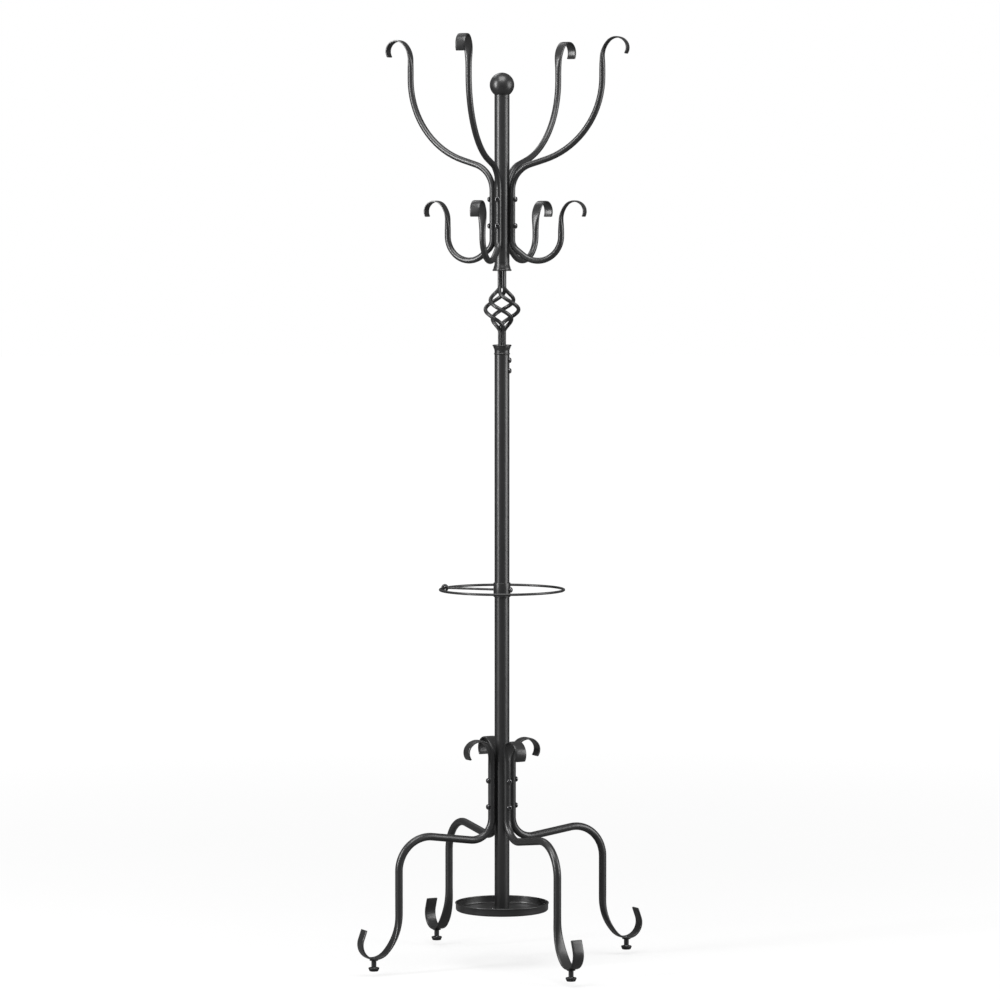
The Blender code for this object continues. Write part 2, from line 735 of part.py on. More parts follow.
def drilled(mesh, name, run_radius, heights, collection, cutters, extra=None):
    """The bar's mesh with its screw holes, drilled through the clamped run."""
    bar = add_object(name, mesh, collection)
    drill = rods(
        name + "_drill",
        [radial_frame(0.0, z) for z in heights],
        0.0,
        2.0 * run_radius,
        SCREW_RADIUS + DRILL_PLAY,
        SCREW_STEPS,
        cutters,
    )
    boolean(bar, "DIFFERENCE", drill)
    if extra:
        boolean(bar, "DIFFERENCE", extra)
    result = bake(bar)
    bpy.data.objects.remove(drill, do_unlink=True)
    return result


def hook_bars(collection, cutters, material, screw_material):
    arm, peg = hook_paths()
    stations = split_long(join_paths(arm, peg), LONGEST_STRAIGHT)
    tip = (HOOK_TIP_RADIUS, HOOK_TIP_ANGLE)
    lead = (HOOK_LEAD_RADIUS, HOOK_LEAD_FLAT_ANGLE)
    flats = (
        arc_length(tip, (ARM_CURL_RADIUS, HOOK_CURL_ANGLE), lead),
        arc_length(tip, (PEG_CURL_RADIUS, HOOK_CURL_ANGLE), lead),
    )
    changes = (HOOK_FLATTENING, HOOK_FLATTENING)
    blank = bent_tube("hook_bar", stations, HOOK_TUBE_RADIUS, HOOK_TUBE_WALL, flats, changes)
    mesh = drilled(
        blank, "hook_bar", HOOK_RUN_RADIUS, HOOK_SCREW_HEIGHTS, collection, cutters
    )
    seat = HOOK_RUN_RADIUS + HOOK_TUBE_RADIUS + GAP
    length = seat - POST_BORE + SCREW_TIP_INSIDE
    screw = button_screw_mesh("hook_screw", length, collection, cutters, screw_material)
    for i, angle in enumerate(HOOK_ANGLES):
        bar = add_object(f"hook_bar_{i + 1}", mesh, collection, material)
        bar.rotation_euler = (0.0, 0.0, angle)
        for row, height in zip(("lower", "upper"), HOOK_SCREW_HEIGHTS):
            name = f"hook_screw_{row}_{i + 1}"
            place_radial(name, screw, seat, angle, height, collection, screw_material)


def legs(collection, cutters, material, screw_material):
    scroll, leg, foot = leg_paths()
    stations = split_long(join_paths(scroll, leg), LONGEST_STRAIGHT)
    tip = (LEG_TIP_RADIUS, LEG_TIP_ANGLE)
    curl = (LEG_CURL_RADIUS, LEG_CURL_ANGLE - LEG_CURL_ROUND_ANGLE)
    heel = (LEG_HEEL_RADIUS, 90.0 - LEG_SWEEP_ANGLE)
    flats = (
        arc_length(tip, curl),
        arc_length((LEG_TOE_RADIUS, LEG_TOE_ANGLE), heel) + LEG_TOE_STRAIGHT,
    )
    changes = (LEG_TOP_FLATTENING, LEG_FOOT_FLATTENING)
    blank = bent_tube("leg", stations, LEG_TUBE_RADIUS, LEG_TUBE_WALL, flats, changes)
    stud_hole = rods(
        "stud_hole",
        [Matrix.Translation((foot, 0.0, 0.0))],
        SLEEVE_BOTTOM,
        STRIP_MIDDLE + LEG_TUBE_RADIUS,
        STUD_RADIUS + DRILL_PLAY,
        SCREW_STEPS,
        cutters,
    )
    mesh = drilled(
        blank, "leg", LEG_RUN_RADIUS, LEG_SCREW_HEIGHTS, collection, cutters, stud_hole
    )
    bpy.data.objects.remove(stud_hole, do_unlink=True)
    seat = LEG_RUN_RADIUS + LEG_TUBE_RADIUS + GAP
    length = seat - POST_BORE + SCREW_TIP_INSIDE
    screw = button_screw_mesh("leg_screw", length, collection, cutters, screw_material)
    for i, angle in enumerate(leg_angles()):
        bar = add_object(f"leg_{i + 1}", mesh, collection, material)
        bar.rotation_euler = (0.0, 0.0, angle)
        for row, height in zip(("lower", "upper"), LEG_SCREW_HEIGHTS):
            name = f"leg_screw_{row}_{i + 1}"
            place_radial(name, screw, seat, angle, height, collection, screw_material)
    return foot


def joint_screws(collection, cutters, material):
    seat = POST_RADIUS + GAP
    screw = button_screw_mesh("joint_screw", JOINT_SCREW_DEPTH, collection, cutters, material)
    for row, height in zip(("lower", "upper"), JOINT_SCREW_HEIGHTS):
        name = f"joint_screw_{row}"
        place_radial(name, screw, seat, JOINT_SCREW_ANGLE, height, collection, material)


# Feet -----------------------------------------------------------------------------------------


def foot_sleeve(name, collection, material):
    """The welded nut under a leg: a round flange on a long threaded sleeve."""
    bore = STUD_RADIUS + DRILL_PLAY
    step = SLEEVE_TOP - SLEEVE_FLANGE_HEIGHT
    profile = [
        (SLEEVE_FLANGE_RADIUS, SLEEVE_TOP),
        (SLEEVE_FLANGE_RADIUS, step + SLEEVE_FLANGE_HEIGHT / 2.0),
        (SLEEVE_RADIUS, step - SLEEVE_FLANGE_HEIGHT),
        (SLEEVE_RADIUS, SLEEVE_BOTTOM),
        (bore, SLEEVE_BOTTOM),
        (bore, SLEEVE_TOP),
    ]
    return turned(name, profile, collection, material, SLEEVE_STEPS, ring=True)


def foot_stud(name, collection, material):
    """The threaded stud, with the flange by which the pad turns on it."""
    top = STRIP_MIDDLE + LEG_TUBE_WALL
    base = PAD_FLOOR + GAP
    profile = [
        (0.0, top),
        (STUD_RADIUS, top),
        (STUD_RADIUS, base + STUD_FLANGE_HEIGHT),
        (STUD_FLANGE_RADIUS, base + STUD_FLANGE_HEIGHT),
        (STUD_FLANGE_RADIUS, base),
        (0.0, base),
    ]
    return turned(name, profile, collection, material, FOOT_STEPS)


def foot_pad(name, collection, material):
    """The moulded pad, with a pocket that holds the stud's flange."""
    pocket_top = PAD_FLOOR + STUD_FLANGE_HEIGHT + 3.0 * GAP
    neck_radius = STUD_RADIUS + DRILL_PLAY
    pocket_radius = STUD_FLANGE_RADIUS + DRILL_PLAY
    profile = [
        (neck_radius, PAD_HEIGHT),
        (PAD_TOP_RADIUS - PAD_EDGE, PAD_HEIGHT),
        (PAD_TOP_RADIUS, PAD_HEIGHT - PAD_EDGE),
        (PAD_TOP_RADIUS, PAD_HEIGHT - 2.0 * PAD_EDGE),
        (PAD_BASE_RADIUS, 0.0),
        (0.0, 0.0),
    ]
    inside = [
        (0.0, PAD_FLOOR),
        (pocket_radius, PAD_FLOOR),
        (pocket_radius, pocket_top),
        (neck_radius, pocket_top),
    ]
    return turned(name, profile + inside, collection, material, FOOT_STEPS, ring=True)


def feet(foot_radius, collection, steel, stud_steel, plastic):
    for i, angle in enumerate(leg_angles()):
        place = (foot_radius * math.cos(angle), foot_radius * math.sin(angle), 0.0)
        for obj in (
            foot_sleeve(f"foot_sleeve_{i + 1}", collection, steel),
            foot_stud(f"foot_stud_{i + 1}", collection, stud_steel),
            foot_pad(f"foot_pad_{i + 1}", collection, plastic),
        ):
            obj.location = place


# Umbrella ring --------------------------------------------------------------------------------


def umbrella_ring(collection, material):
    bpy.ops.mesh.primitive_torus_add(
        major_segments=RING_STEPS,
        minor_segments=RING_SIDES,
        major_radius=RING_RADIUS,
        minor_radius=RING_WIRE_RADIUS,
    )
    torus = bpy.context.object
    ring = add_object("umbrella_ring", torus.data, collection, material)
    ring.location.z = RING_HEIGHT
    bpy.data.objects.remove(torus, do_unlink=True)
    return ring


def ring_spoke(collection, material):
    """The eye bolt that holds the ring: a rod through the post, rolled round the ring's wire."""
    eye_radius = RING_WIRE_RADIUS + GAP + SPOKE_RADIUS + GAP
    tail = -(CAP_NUT_SEAT + SPOKE_THREAD)
    points = [(tail, 0.0), (0.0, 0.0), (RING_RADIUS - eye_radius * 1.6, 0.0)]
    for i in range(EYE_STEPS + 1):
        turn = math.pi - EYE_ANGLE * i / EYE_STEPS
        reach = RING_RADIUS + eye_radius * math.cos(turn)
        points.append((reach, eye_radius * math.sin(turn)))
    curve = bpy.data.curves.new("ring_spoke", "CURVE")
    curve.dimensions = "3D"
    curve.bevel_depth = SPOKE_RADIUS
    curve.bevel_resolution = 1
    curve.use_fill_caps = True
    spline = curve.splines.new("POLY")
    spline.points.add(len(points) - 1)
    for point, (reach, height) in zip(spline.points, points):
        point.co = (reach, 0.0, height, 1.0)
    curve.materials.append(material)
    obj = bpy.data.objects.new("ring_spoke", curve)
    collection.objects.link(obj)
    obj.location = (0.0, 0.0, RING_HEIGHT)
    obj.rotation_euler = (0.0, 0.0, RING_ANGLE)
    return obj


def ring_collar(collection, cutters, material):
    """The sleeve on the post that spreads the ring's load, drilled for the spoke."""
    inner = POST_RADIUS + GAP
    outer = inner + RING_COLLAR_WALL
    top = RING_HEIGHT + RING_COLLAR_HEIGHT / 2.0
    bottom = RING_HEIGHT - RING_COLLAR_HEIGHT / 2.0
    soft = RING_COLLAR_WALL / 2.0
    profile = [
        (inner, top),
        (outer - soft, top),
        (outer, top - soft),
        (outer, bottom + soft),
        (outer - soft, bottom),
        (inner, bottom),
    ]
    collar = turned("ring_collar", profile, collection, material, POST_STEPS, ring=True)
    collar.rotation_euler.z = POST_TURN
    holes = rods(
        "ring_collar_drill",
        [radial_frame(RING_ANGLE, RING_HEIGHT)],
        -outer - POST_WALL,
        outer + POST_WALL,
        SPOKE_RADIUS + DRILL_PLAY,
        SCREW_STEPS,
        cutters,
    )
    return boolean(collar, "DIFFERENCE", holes)


def ring_cap_nut(collection, material):
    """The domed nut on the spoke's thread, seated on the collar opposite the ring's eye."""
    bore = SPOKE_RADIUS + DRILL_PLAY
    depth = SPOKE_THREAD + GAP
    radius = CAP_NUT_RADIUS
    tall = CAP_NUT_HEIGHT
    profile = [
        (0.0, tall),
        (radius * 0.50, tall * 0.92),
        (radius * 0.86, tall * 0.62),
        (radius, tall * 0.22),
        (radius, 0.0),
        (bore, 0.0),
        (bore, depth),
        (0.0, depth),
    ]
    nut = turned("ring_cap_nut", profile, collection, material, SCREW_STEPS + 2)
    angle = RING_ANGLE + math.pi
    nut.location = (CAP_NUT_SEAT * math.cos(angle), CAP_NUT_SEAT * math.sin(angle), RING_HEIGHT)
    nut.rotation_euler = (0.0, math.pi / 2.0, angle)
    return nut


# Tray -----------------------------------------------------------------------------------------


def tray_screw_frames():
    frames = []
    for i in range(TRAY_SCREWS):
        angle = TRAY_SCREW_ANGLE + 2.0 * math.pi * i / TRAY_SCREWS
        reach = TRAY_SCREW_CIRCLE
        frames.append(Matrix.Translation((reach * math.cos(angle), reach * math.sin(angle), 0.0)))
    return frames


def drip_tray(collection, cutters, material):
    """A shallow pressed dish with a rolled rim, pierced for its screws."""
    floor_top = TRAY_TOP_FACE
    floor_bottom = floor_top - TRAY_WALL
    rim = floor_bottom + TRAY_HEIGHT
    outer = TRAY_RADIUS - TRAY_RIM_BEAD
    inner = outer - TRAY_WALL
    profile = [
        (0.0, floor_top),
        (inner - TRAY_CORNER, floor_top),
        (inner, floor_top + TRAY_CORNER),
        (inner, rim),
        (TRAY_RADIUS, rim),
        (TRAY_RADIUS, rim - 2.0 * TRAY_RIM_BEAD),
        (outer, rim - 3.0 * TRAY_RIM_BEAD),
        (outer, floor_bottom + TRAY_CORNER),
        (outer - TRAY_CORNER, floor_bottom),
        (0.0, floor_bottom),
    ]
    tray = turned("drip_tray", profile, collection, material, TRAY_STEPS)
    holes = rods(
        "drip_tray_drill",
        tray_screw_frames(),
        floor_bottom - TRAY_WALL,
        floor_top + TRAY_WALL,
        TRAY_SCREW_RADIUS + DRILL_PLAY,
        SCREW_STEPS,
        cutters,
    )
    return boolean(tray, "DIFFERENCE", holes)


def post_foot_plug(collection, cutters, material):
    """The plug in the post's lower end, whose flange the tray is screwed to."""
    seat = POST_BOTTOM - GAP
    under = seat - FLANGE_THICKNESS
    profile = [
        (0.0, seat + PLUG_LENGTH),
        (SPIGOT_RADIUS, seat + PLUG_LENGTH),
        (SPIGOT_RADIUS, seat),
        (FLANGE_RADIUS, seat),
        (FLANGE_RADIUS, under),
        (0.0, under),
    ]
    plug = turned("post_foot_plug", profile, collection, material, POST_STEPS)
    holes = rods(
        "post_foot_plug_drill",
        tray_screw_frames(),
        under - TRAY_WALL,
        seat + TRAY_WALL,
        TRAY_SCREW_RADIUS + DRILL_PLAY,
        SCREW_STEPS,
        cutters,
    )
    return boolean(plug, "DIFFERENCE", holes)


def tray_screws(collection, material):
    seat = POST_BOTTOM
    tall = TRAY_SCREW_HEAD_HEIGHT
    for i, frame in enumerate(tray_screw_frames()):
        profile = [
            (0.0, tall),
            (TRAY_SCREW_HEAD_RADIUS * 0.6, tall),
            (TRAY_SCREW_HEAD_RADIUS, tall * 0.4),
            (TRAY_SCREW_HEAD_RADIUS, 0.0),
            (TRAY_SCREW_RADIUS, 0.0),
            (TRAY_SCREW_RADIUS, -TRAY_SCREW_LENGTH),
            (0.0, -TRAY_SCREW_LENGTH),
        ]
        screw = turned(f"tray_screw_{i + 1}", profile, collection, material, SCREW_STEPS)
        screw.location = frame.translation
        screw.location.z = seat


def build():
    clear_scene()
    rack = make_collection("coat_rack")
    cutters = make_collection("cutters")
    coated = make_material("charcoal_powder_coat", (0.030, 0.030, 0.032), 0.42, 0.0)
    screw_black = make_material("black_oxide_steel", (0.012, 0.012, 0.013), 0.30, 0.8)
    plastic = make_material("black_nylon", (0.016, 0.016, 0.017), 0.55, 0.0)
    stud_steel = make_material("zinc_plated_steel", (0.45, 0.46, 0.47), 0.35, 1.0)

    ball_finial(rack, coated)
    upper_post(rack, cutters, coated)
    upper_collar(rack, coated)
    for index in range(BASKET_RODS):
        basket_rod(index, rack, coated)
    lower_collar(rack, cutters, coated)
    lower_post(rack, cutters, coated)
    joint_screws(rack, cutters, screw_black)
    hook_bars(rack, cutters, coated, screw_black)
    foot_radius = legs(rack, cutters, coated, screw_black)
    feet(foot_radius, rack, coated, stud_steel, plastic)
    umbrella_ring(rack, coated)
    ring_spoke(rack, coated)
    ring_collar(rack, cutters, coated)
    ring_cap_nut(rack, screw_black)
    post_foot_plug(rack, cutters, coated)
    drip_tray(rack, cutters, coated)
    tray_screws(rack, screw_black)


build()
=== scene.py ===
"""The looks of the standing coat rack: bent tube, turned fittings and its finishes.

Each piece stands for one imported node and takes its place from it. Metres, +Z up.
"""

import math

import bpy
import numpy as np
from mathutils import Matrix, Vector


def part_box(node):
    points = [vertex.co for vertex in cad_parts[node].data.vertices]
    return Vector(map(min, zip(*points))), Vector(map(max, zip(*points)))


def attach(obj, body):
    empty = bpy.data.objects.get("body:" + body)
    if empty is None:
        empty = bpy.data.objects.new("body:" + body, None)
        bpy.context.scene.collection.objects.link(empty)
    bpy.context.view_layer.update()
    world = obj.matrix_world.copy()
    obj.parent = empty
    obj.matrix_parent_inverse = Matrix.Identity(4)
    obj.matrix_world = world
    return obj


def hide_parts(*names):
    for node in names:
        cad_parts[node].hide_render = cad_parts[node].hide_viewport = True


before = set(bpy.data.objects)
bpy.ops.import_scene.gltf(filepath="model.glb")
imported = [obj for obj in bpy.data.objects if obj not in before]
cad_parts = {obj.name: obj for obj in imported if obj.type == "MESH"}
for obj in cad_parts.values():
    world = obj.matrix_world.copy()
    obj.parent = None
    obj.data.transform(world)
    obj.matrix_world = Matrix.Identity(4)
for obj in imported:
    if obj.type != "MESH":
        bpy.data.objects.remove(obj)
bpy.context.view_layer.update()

# The play between neighbours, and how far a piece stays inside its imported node
GAP = 0.0003
SNUG = 0.00002
CLOSE = 0.00005
EASY = 0.0001

# Tube and strip
HOOK_TUBE_RADIUS = 0.0060
HOOK_TUBE_WALL = 0.0015
LEG_TUBE_RADIUS = 0.0075
LEG_TUBE_WALL = 0.0020
FLAT_ROUNDING = 0.42
TUBE_SIDES = 24
BEND_STEP = math.radians(4.0)
STRAIGHT_STEP = 0.012
CUT_EDGE = 0.0005

# Hook bar: heights from its lower screw, and the bends (radius, degrees) along it
HOOK_RUN_BELOW = 0.0270
HOOK_RUN_LENGTH = 0.0960
ARM_REACH = 0.2060
ARM_RISE = 0.2966
ARM_LEAVE = (0.0530, 73.0)
ARM_SWEEP_RADIUS = 0.1670
ARM_CURL = (0.0230, 90.0)
ARM_LEAD_ANGLE = 45.0
PEG_REACH = 0.1220
PEG_RISE = 0.0740
PEG_LEAVE = (0.0250, 52.0)
PEG_BOWL_RADIUS = 0.0480
PEG_CURL = (0.0220, 90.0)
PEG_LEAD_ANGLE = 40.0
HOOK_LEAD_RADIUS = 0.0450
HOOK_LEAD_FLAT_ANGLE = 10.0
HOOK_TIP = (0.0195, 80.0)
HOOK_FLATTENING = 0.0480

# Leg
LEG_RUN_BELOW = 0.0222
LEG_RUN_LENGTH = 0.1150
LEG_REACH = 0.22698
LEG_LEAD = (0.0450, 40.0)
LEG_CURL = (0.0265, 100.0)
LEG_TIP = (0.0200, 80.0)
LEG_LEAVE = (0.0410, 98.0)
LEG_ARCH_RADIUS = 0.0640
LEG_SWEEP = (0.1000, 45.0)
LEG_HEEL_RADIUS = 0.0360
LEG_TOE = (0.0290, 110.0)
LEG_TOE_STRAIGHT = 0.0200
LEG_CURL_ROUND_ANGLE = 10.0
LEG_TOP_FLATTENING = 0.0420
LEG_FOOT_FLATTENING = 0.0900
STUD_HOLE_RADIUS = 0.0033

# Post, its collars and its foot
POST_WALL = 0.0015
POST_EDGE = 0.0003
BORE_SHOWN = 0.0100
SPIGOT_STEP = 0.0016
COLLAR_LIP = 0.0034
UPPER_COLLAR_LAND = 0.0015
COLLAR_BEAD_RADIUS = 0.0022
COLLAR_BEAD_DEPTH = 0.0012
COLLAR_BEAD_MIDDLE = 0.0024
COLLAR_BEAD_TOP = 0.0052
LOWER_COLLAR_LAND = 0.0080
PLUG_STEP = 0.0018
PLUG_EDGE = 0.0004

# Basket
ROD_RADIUS = 0.0038
BUNDLE_RADIUS = ROD_RADIUS * math.sqrt(2.0) + GAP / 2.0
BASKET_RADIUS = 0.0325
BASKET_SWELL = 1.60
BASKET_HEIGHT = 0.0880
LOWER_BUNDLE_LENGTH = 0.0264
BASKET_START = math.radians(3.0)
BASKET_TWIST = math.radians(280.0)
ROD_STEPS = 72

# Fasteners
SCREW_HEAD_RADIUS = 0.0053
SCREW_HEAD_HEIGHT = 0.0036
SCREW_HEAD_EDGE = 0.0003
SCREW_HEAD_BAND = 0.0006
SCREW_HEAD_FULLNESS = 0.8
SCREW_RADIUS = 0.0030
SCREW_SHANK = 0.0060
SCREW_SPIN = 17.0
SOCKET_RADIUS = 0.0023
SOCKET_DEPTH = 0.0020
SOCKET_RIM = 0.0005
TRAY_SCREW_RADIUS = 0.0015
TRAY_SCREW_SHANK = 0.0040
TRAY_SCREW_HEAD_RADIUS = 0.0030
TRAY_SCREW_HEAD_EDGE = 0.0003
TRAY_SCREW_DOME = 0.0019
TRAY_SCREW_FULLNESS = 0.6
TRAY_SCREW_SPIN = 50.0
CROSS_HEIGHT = 0.0022
TRAY_SCREW_DOME_ANGLE = 80.0
CROSS_SIZE = (0.0030, 0.0006, 0.0020)
CAP_NUT_HEIGHT = 0.0051
CAP_NUT_TIP = 0.0002
CAP_NUT_CHAMFER = 0.0004
CAP_NUT_DOME_ANGLE = 86.0
CORNER_BREAK = 0.0001

# Feet
SLEEVE_BORE = 0.0034
SLEEVE_RADIUS = 0.0049
SLEEVE_EDGE = 0.0003
SLEEVE_FILLET = 0.0016
SLEEVE_FILLET_DROP = 0.0030
SLEEVE_FLANGE = 0.0010
STUD_ROOT = 0.00262
STUD_PITCH = 0.0010
STUD_FLANK = 0.0004
STUD_CREST = 0.0002
STUD_END = 0.0003
STUD_FLANGE_RADIUS = 0.0048
STUD_FLANGE = 0.0020
# Pad: its foot edge as (in from the foot radius, height), its rim as drops from its top
PAD_FOOT = 0.0088
PAD_FOOT_EDGE = ((0.0006, 0.0), (0.0002, 0.0003), (0.0, 0.0010))
PAD_RIM = (0.0022, 0.0012)
PAD_TOP_EDGE = 0.0010
PAD_WELL = 0.0046
PAD_WELL_DEPTH = 0.0004
PAD_SIDES = 96
PAD_RIB_SIDES = 4
PAD_GROOVE_ENDS = (0.0005, 0.0015)
PAD_GROOVE_DEPTH = 0.00035
PAD_GROOVE_MARGIN = 0.00012

# Umbrella ring and drip tray
RING_WIRE = 0.0025
SPOKE_WIRE = 0.0023
SPOKE_TAIL = 0.0209
SPOKE_BEND = 1.2
SPOKE_WRAP = 290.0
RING_COLLAR_EDGE = 0.0008
TRAY_WALL = 0.0012
TRAY_BEAD = 0.0013
TRAY_CORNER = 0.0040
TRAY_BEAD_GAP = 0.0006
# The step in the tray's base as (radius, rise), on its lower and its upper face
TRAY_STEP_BELOW = ((0.0520, 0.0006), (0.0540, 0.0005), (0.0560, 0.0))
TRAY_STEP_ABOVE = ((0.0558, 0.0), (0.0538, 0.0005), (0.0500, 0.0006))

# Facets round a turned piece
POST_SIDES = 96
SCREW_SIDES = 48
THREAD_SIDES = 32
TRAY_SIDES = 160

# An edge sharper than this angle in degrees stays crisp
BAR_CREASE = 35.0
FITTING_CREASE = 40.0
SCREW_CREASE = 30.0
NUT_CREASE = 25.0
THREAD_CREASE = 20.0
WIRE_CREASE = 50.0
RING_CREASE = 60.0

# Camera: the angle from the rack's axes, the distance from the post and the height
CAMERA_AZIMUTH = -28.0
CAMERA_DISTANCE = 8.797
CAMERA_HEIGHT = 1.454
CAMERA_PITCH = 3.55
CAMERA_LENS = 162.0
CAMERA_SENSOR = 36.0
CAMERA_SHIFT = -0.0020

# Studio. The floor lies as low as a foot can be screwed out
FEET_TRAVEL = 0.0102
FLOOR_RADIUS = 40.0
FLOOR_NEAR = (0.5, 0.78)
FLOOR_FAR = (6.0, 1.0)
WORLD_LIGHT = 0.13
BACKDROP_LIGHT = 1.0
WHITE = (1.0, 1.0, 1.0, 1.0)
DUST_COLOUR = (0.30, 0.29, 0.27)
# Softboxes: degrees from the camera, distance, height, size, watts, height aimed at
SOFTBOXES = {
    "key": (62.0, 3.2, 1.9, (0.5, 2.6), 115.0, 1.0),
    "fill": (-75.0, 3.4, 1.6, (2.0, 2.6), 95.0, 1.0),
    "rim": (150.0, 2.6, 4.0, (1.6, 1.0), 20.0, 1.0),
    "top": (0.0, 1.5, 4.2, (2.4, 2.4), 120.0, 0.9),
}


# Placing ------------------------------------------------------------------------------


def centre(node):
    low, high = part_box(node)
    return (Vector(low) + Vector(high)) / 2.0


def centre_radius(node):
    """The radius of a round node that stands on the post's axis."""
    low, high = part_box(node)
    return (high[0] - low[0]) / 2.0


def angle_of(node):
    """The angle round the post at which a node lies."""
    middle = centre(node)
    return math.atan2(middle.y, middle.x)


def turn_to(angle):
    return Matrix.Rotation(angle, 4, "Z")


def outward(angle, reach, height):
    """Places a piece made upright on Z = 0 so that it points away from the post."""
    turned_out = Matrix.Rotation(angle, 4, "Z") @ Matrix.Rotation(math.pi / 2.0, 4, "Y")
    place = Vector((reach * math.cos(angle), reach * math.sin(angle), height))
    return Matrix.Translation(place) @ turned_out


def eased(share):
    """A share from 0 to 1 that starts and ends gently."""
    return share * share * (3.0 - 2.0 * share)


def deselect():
    bpy.ops.object.select_all(action="DESELECT")


def select_only(piece):
    deselect()
    piece.select_set(True)
    bpy.context.view_layer.objects.active = piece


def discard(piece):
    bpy.data.objects.remove(piece, do_unlink=True)


def edit(piece):
    """Opens a piece for editing with nothing in it selected."""
    select_only(piece)
    bpy.ops.object.mode_set(mode="EDIT")
    bpy.ops.mesh.select_all(action="DESELECT")


def leave_edit():
    bpy.ops.object.mode_set(mode="OBJECT")


def open_new(name, kind):
    """Names the primitive just added and opens it for editing, all of it selected."""
    piece = bpy.context.object
    piece.name = name
    bpy.ops.object.transform_apply(location=True, rotation=True, scale=True)
    bpy.ops.object.mode_set(mode="EDIT")
    bpy.ops.mesh.select_mode(type=kind)
    bpy.ops.mesh.select_all(action="SELECT")
    return piece


def close_outward():
    """Turns all faces of the open piece outwards and leaves it."""
    bpy.ops.mesh.select_all(action="SELECT")
    bpy.ops.mesh.normals_make_consistent(inside=False)
    leave_edit()


def pick_faces(piece, chosen):
    """Selects the faces of an open piece for which chosen says yes."""
    bpy.ops.mesh.select_mode(type="FACE")
    bpy.ops.object.mode_set(mode="OBJECT")
    mesh = piece.data
    for group in (mesh.vertices, mesh.edges, mesh.polygons):
        group.foreach_set("select", [False] * len(group))
    for face in mesh.polygons:
        face.select = chosen(face)
    bpy.ops.object.mode_set(mode="EDIT")


def settle(piece):
    """Puts a piece's place into its mesh and leaves its object at the origin."""
    select_only(piece)
    bpy.ops.object.transform_apply(location=True, rotation=True, scale=True)
    return piece


def smooth(piece, crease=BAR_CREASE):
    select_only(piece)
    bpy.ops.object.shade_smooth_by_angle(angle=math.radians(crease))
    return piece


def break_corners(piece):
    """Takes the sharpness off every edge of a piece."""
    edit(piece)
    bpy.ops.mesh.select_all(action="SELECT")
    bpy.ops.mesh.bevel(offset=CORNER_BREAK, segments=1, affect="EDGES")
    leave_edit()


def copy_of(piece, name, matrix):
    """A copy with its own mesh, moved by the matrix."""
    mesh = piece.data.copy()
    mesh.transform(matrix)
    made = bpy.data.objects.new(name, mesh)
    bpy.context.scene.collection.objects.link(made)
    return made


def cut(piece, cutter):
    """Takes the cutter's shape out of the piece and removes the cutter."""
    modifier = piece.modifiers.new("Cut", "BOOLEAN")
    modifier.operation = "DIFFERENCE"
    modifier.solver = "EXACT"
    modifier.object = cutter
    bpy.context.view_layer.objects.active = piece
    bpy.ops.object.modifier_apply(modifier=modifier.name)
    discard(cutter)
    return piece


def hand_over(piece, node, body, material):
    """Gives a piece its finish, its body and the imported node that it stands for."""
    piece.name = node + "_finish"
    piece.data.name = piece.name
    piece.data.materials.clear()
    piece.data.materials.append(material)
    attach(piece, body)
    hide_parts(node)


# Bent tube ----------------------------------------------------------------------------


def walk(station, moves):
    """The end of a path of moves: each is (length,) or (bend radius, degrees)."""
    reach, height, heading = station
    for move in moves:
        if len(move) == 1:
            reach += move[0] * math.cos(heading)
            height += move[0] * math.sin(heading)
            continue
        side = math.copysign(1.0, move[1])
        reach -= side * move[0] * math.sin(heading)
        height += side * move[0] * math.cos(heading)
        heading += math.radians(move[1])
        reach += side * move[0] * math.sin(heading)
        height -= side * move[0] * math.cos(heading)
    return reach, height, heading


def backwards(moves):
    """The same path walked from its end to its start."""
    return [(m[0],) if len(m) == 1 else (m[0], -m[1]) for m in reversed(moves)]


def part_station(station, move, share):
    """Where a share of one move ends."""
    if len(move) == 1:
        return walk(station, [(move[0] * share,)])
    return walk(station, [(move[0], move[1] * share)])


def extrude(offset):
    """Extrudes what is selected in the open piece."""
    bpy.ops.mesh.extrude_region_move(
        MESH_OT_extrude_region={}, TRANSFORM_OT_translate={"value": offset}
    )


def bent_tube(name, radius, station, moves):
    """Extrudes and spins one round tube along the moves, and closes both ends.

    Gives the piece and its rings, each a station (reach, height, heading).
    """
    deselect()
    bpy.ops.mesh.primitive_circle_add(
        vertices=TUBE_SIDES,
        radius=radius,
        location=(station[0], 0.0, station[1]),
        rotation=(0.0, math.pi / 2.0 - station[2], 0.0),
    )
    piece = open_new(name, "VERT")
    bpy.ops.mesh.edge_face_add()
    rings = [station]
    for move in moves:
        reach, height, heading = station
        if len(move) == 1:
            steps = max(1, round(move[0] / STRAIGHT_STEP))
            step = move[0] / steps
            for _ in range(steps):
                extrude((step * math.cos(heading), 0.0, step * math.sin(heading)))
        else:
            steps = max(2, round(math.radians(abs(move[1])) / BEND_STEP))
            side = math.copysign(1.0, move[1])
            middle = (
                reach - side * move[0] * math.sin(heading),
                0.0,
                height + side * move[0] * math.cos(heading),
            )
            bpy.ops.mesh.spin(
                steps=steps,
                angle=math.radians(move[1]),
                center=middle,
                axis=(0.0, 1.0, 0.0),
            )
        rings += [part_station(station, move, (i + 1) / steps) for i in range(steps)]
        station = walk(station, [move])
    close_outward()
    return piece, rings


def ring_lengths(rings):
    """How far along the tube each of its rings lies."""
    total = [0.0]
    for before, after in zip(rings, rings[1:]):
        total.append(total[-1] + math.dist(before[:2], after[:2]))
    return total


def flatness(distance, flat, change):
    """How flat a bar is at a distance from its end: 1 is strip, 0 is round tube."""
    return 1.0 - eased(min(max((distance - flat) / change, 0.0), 1.0))


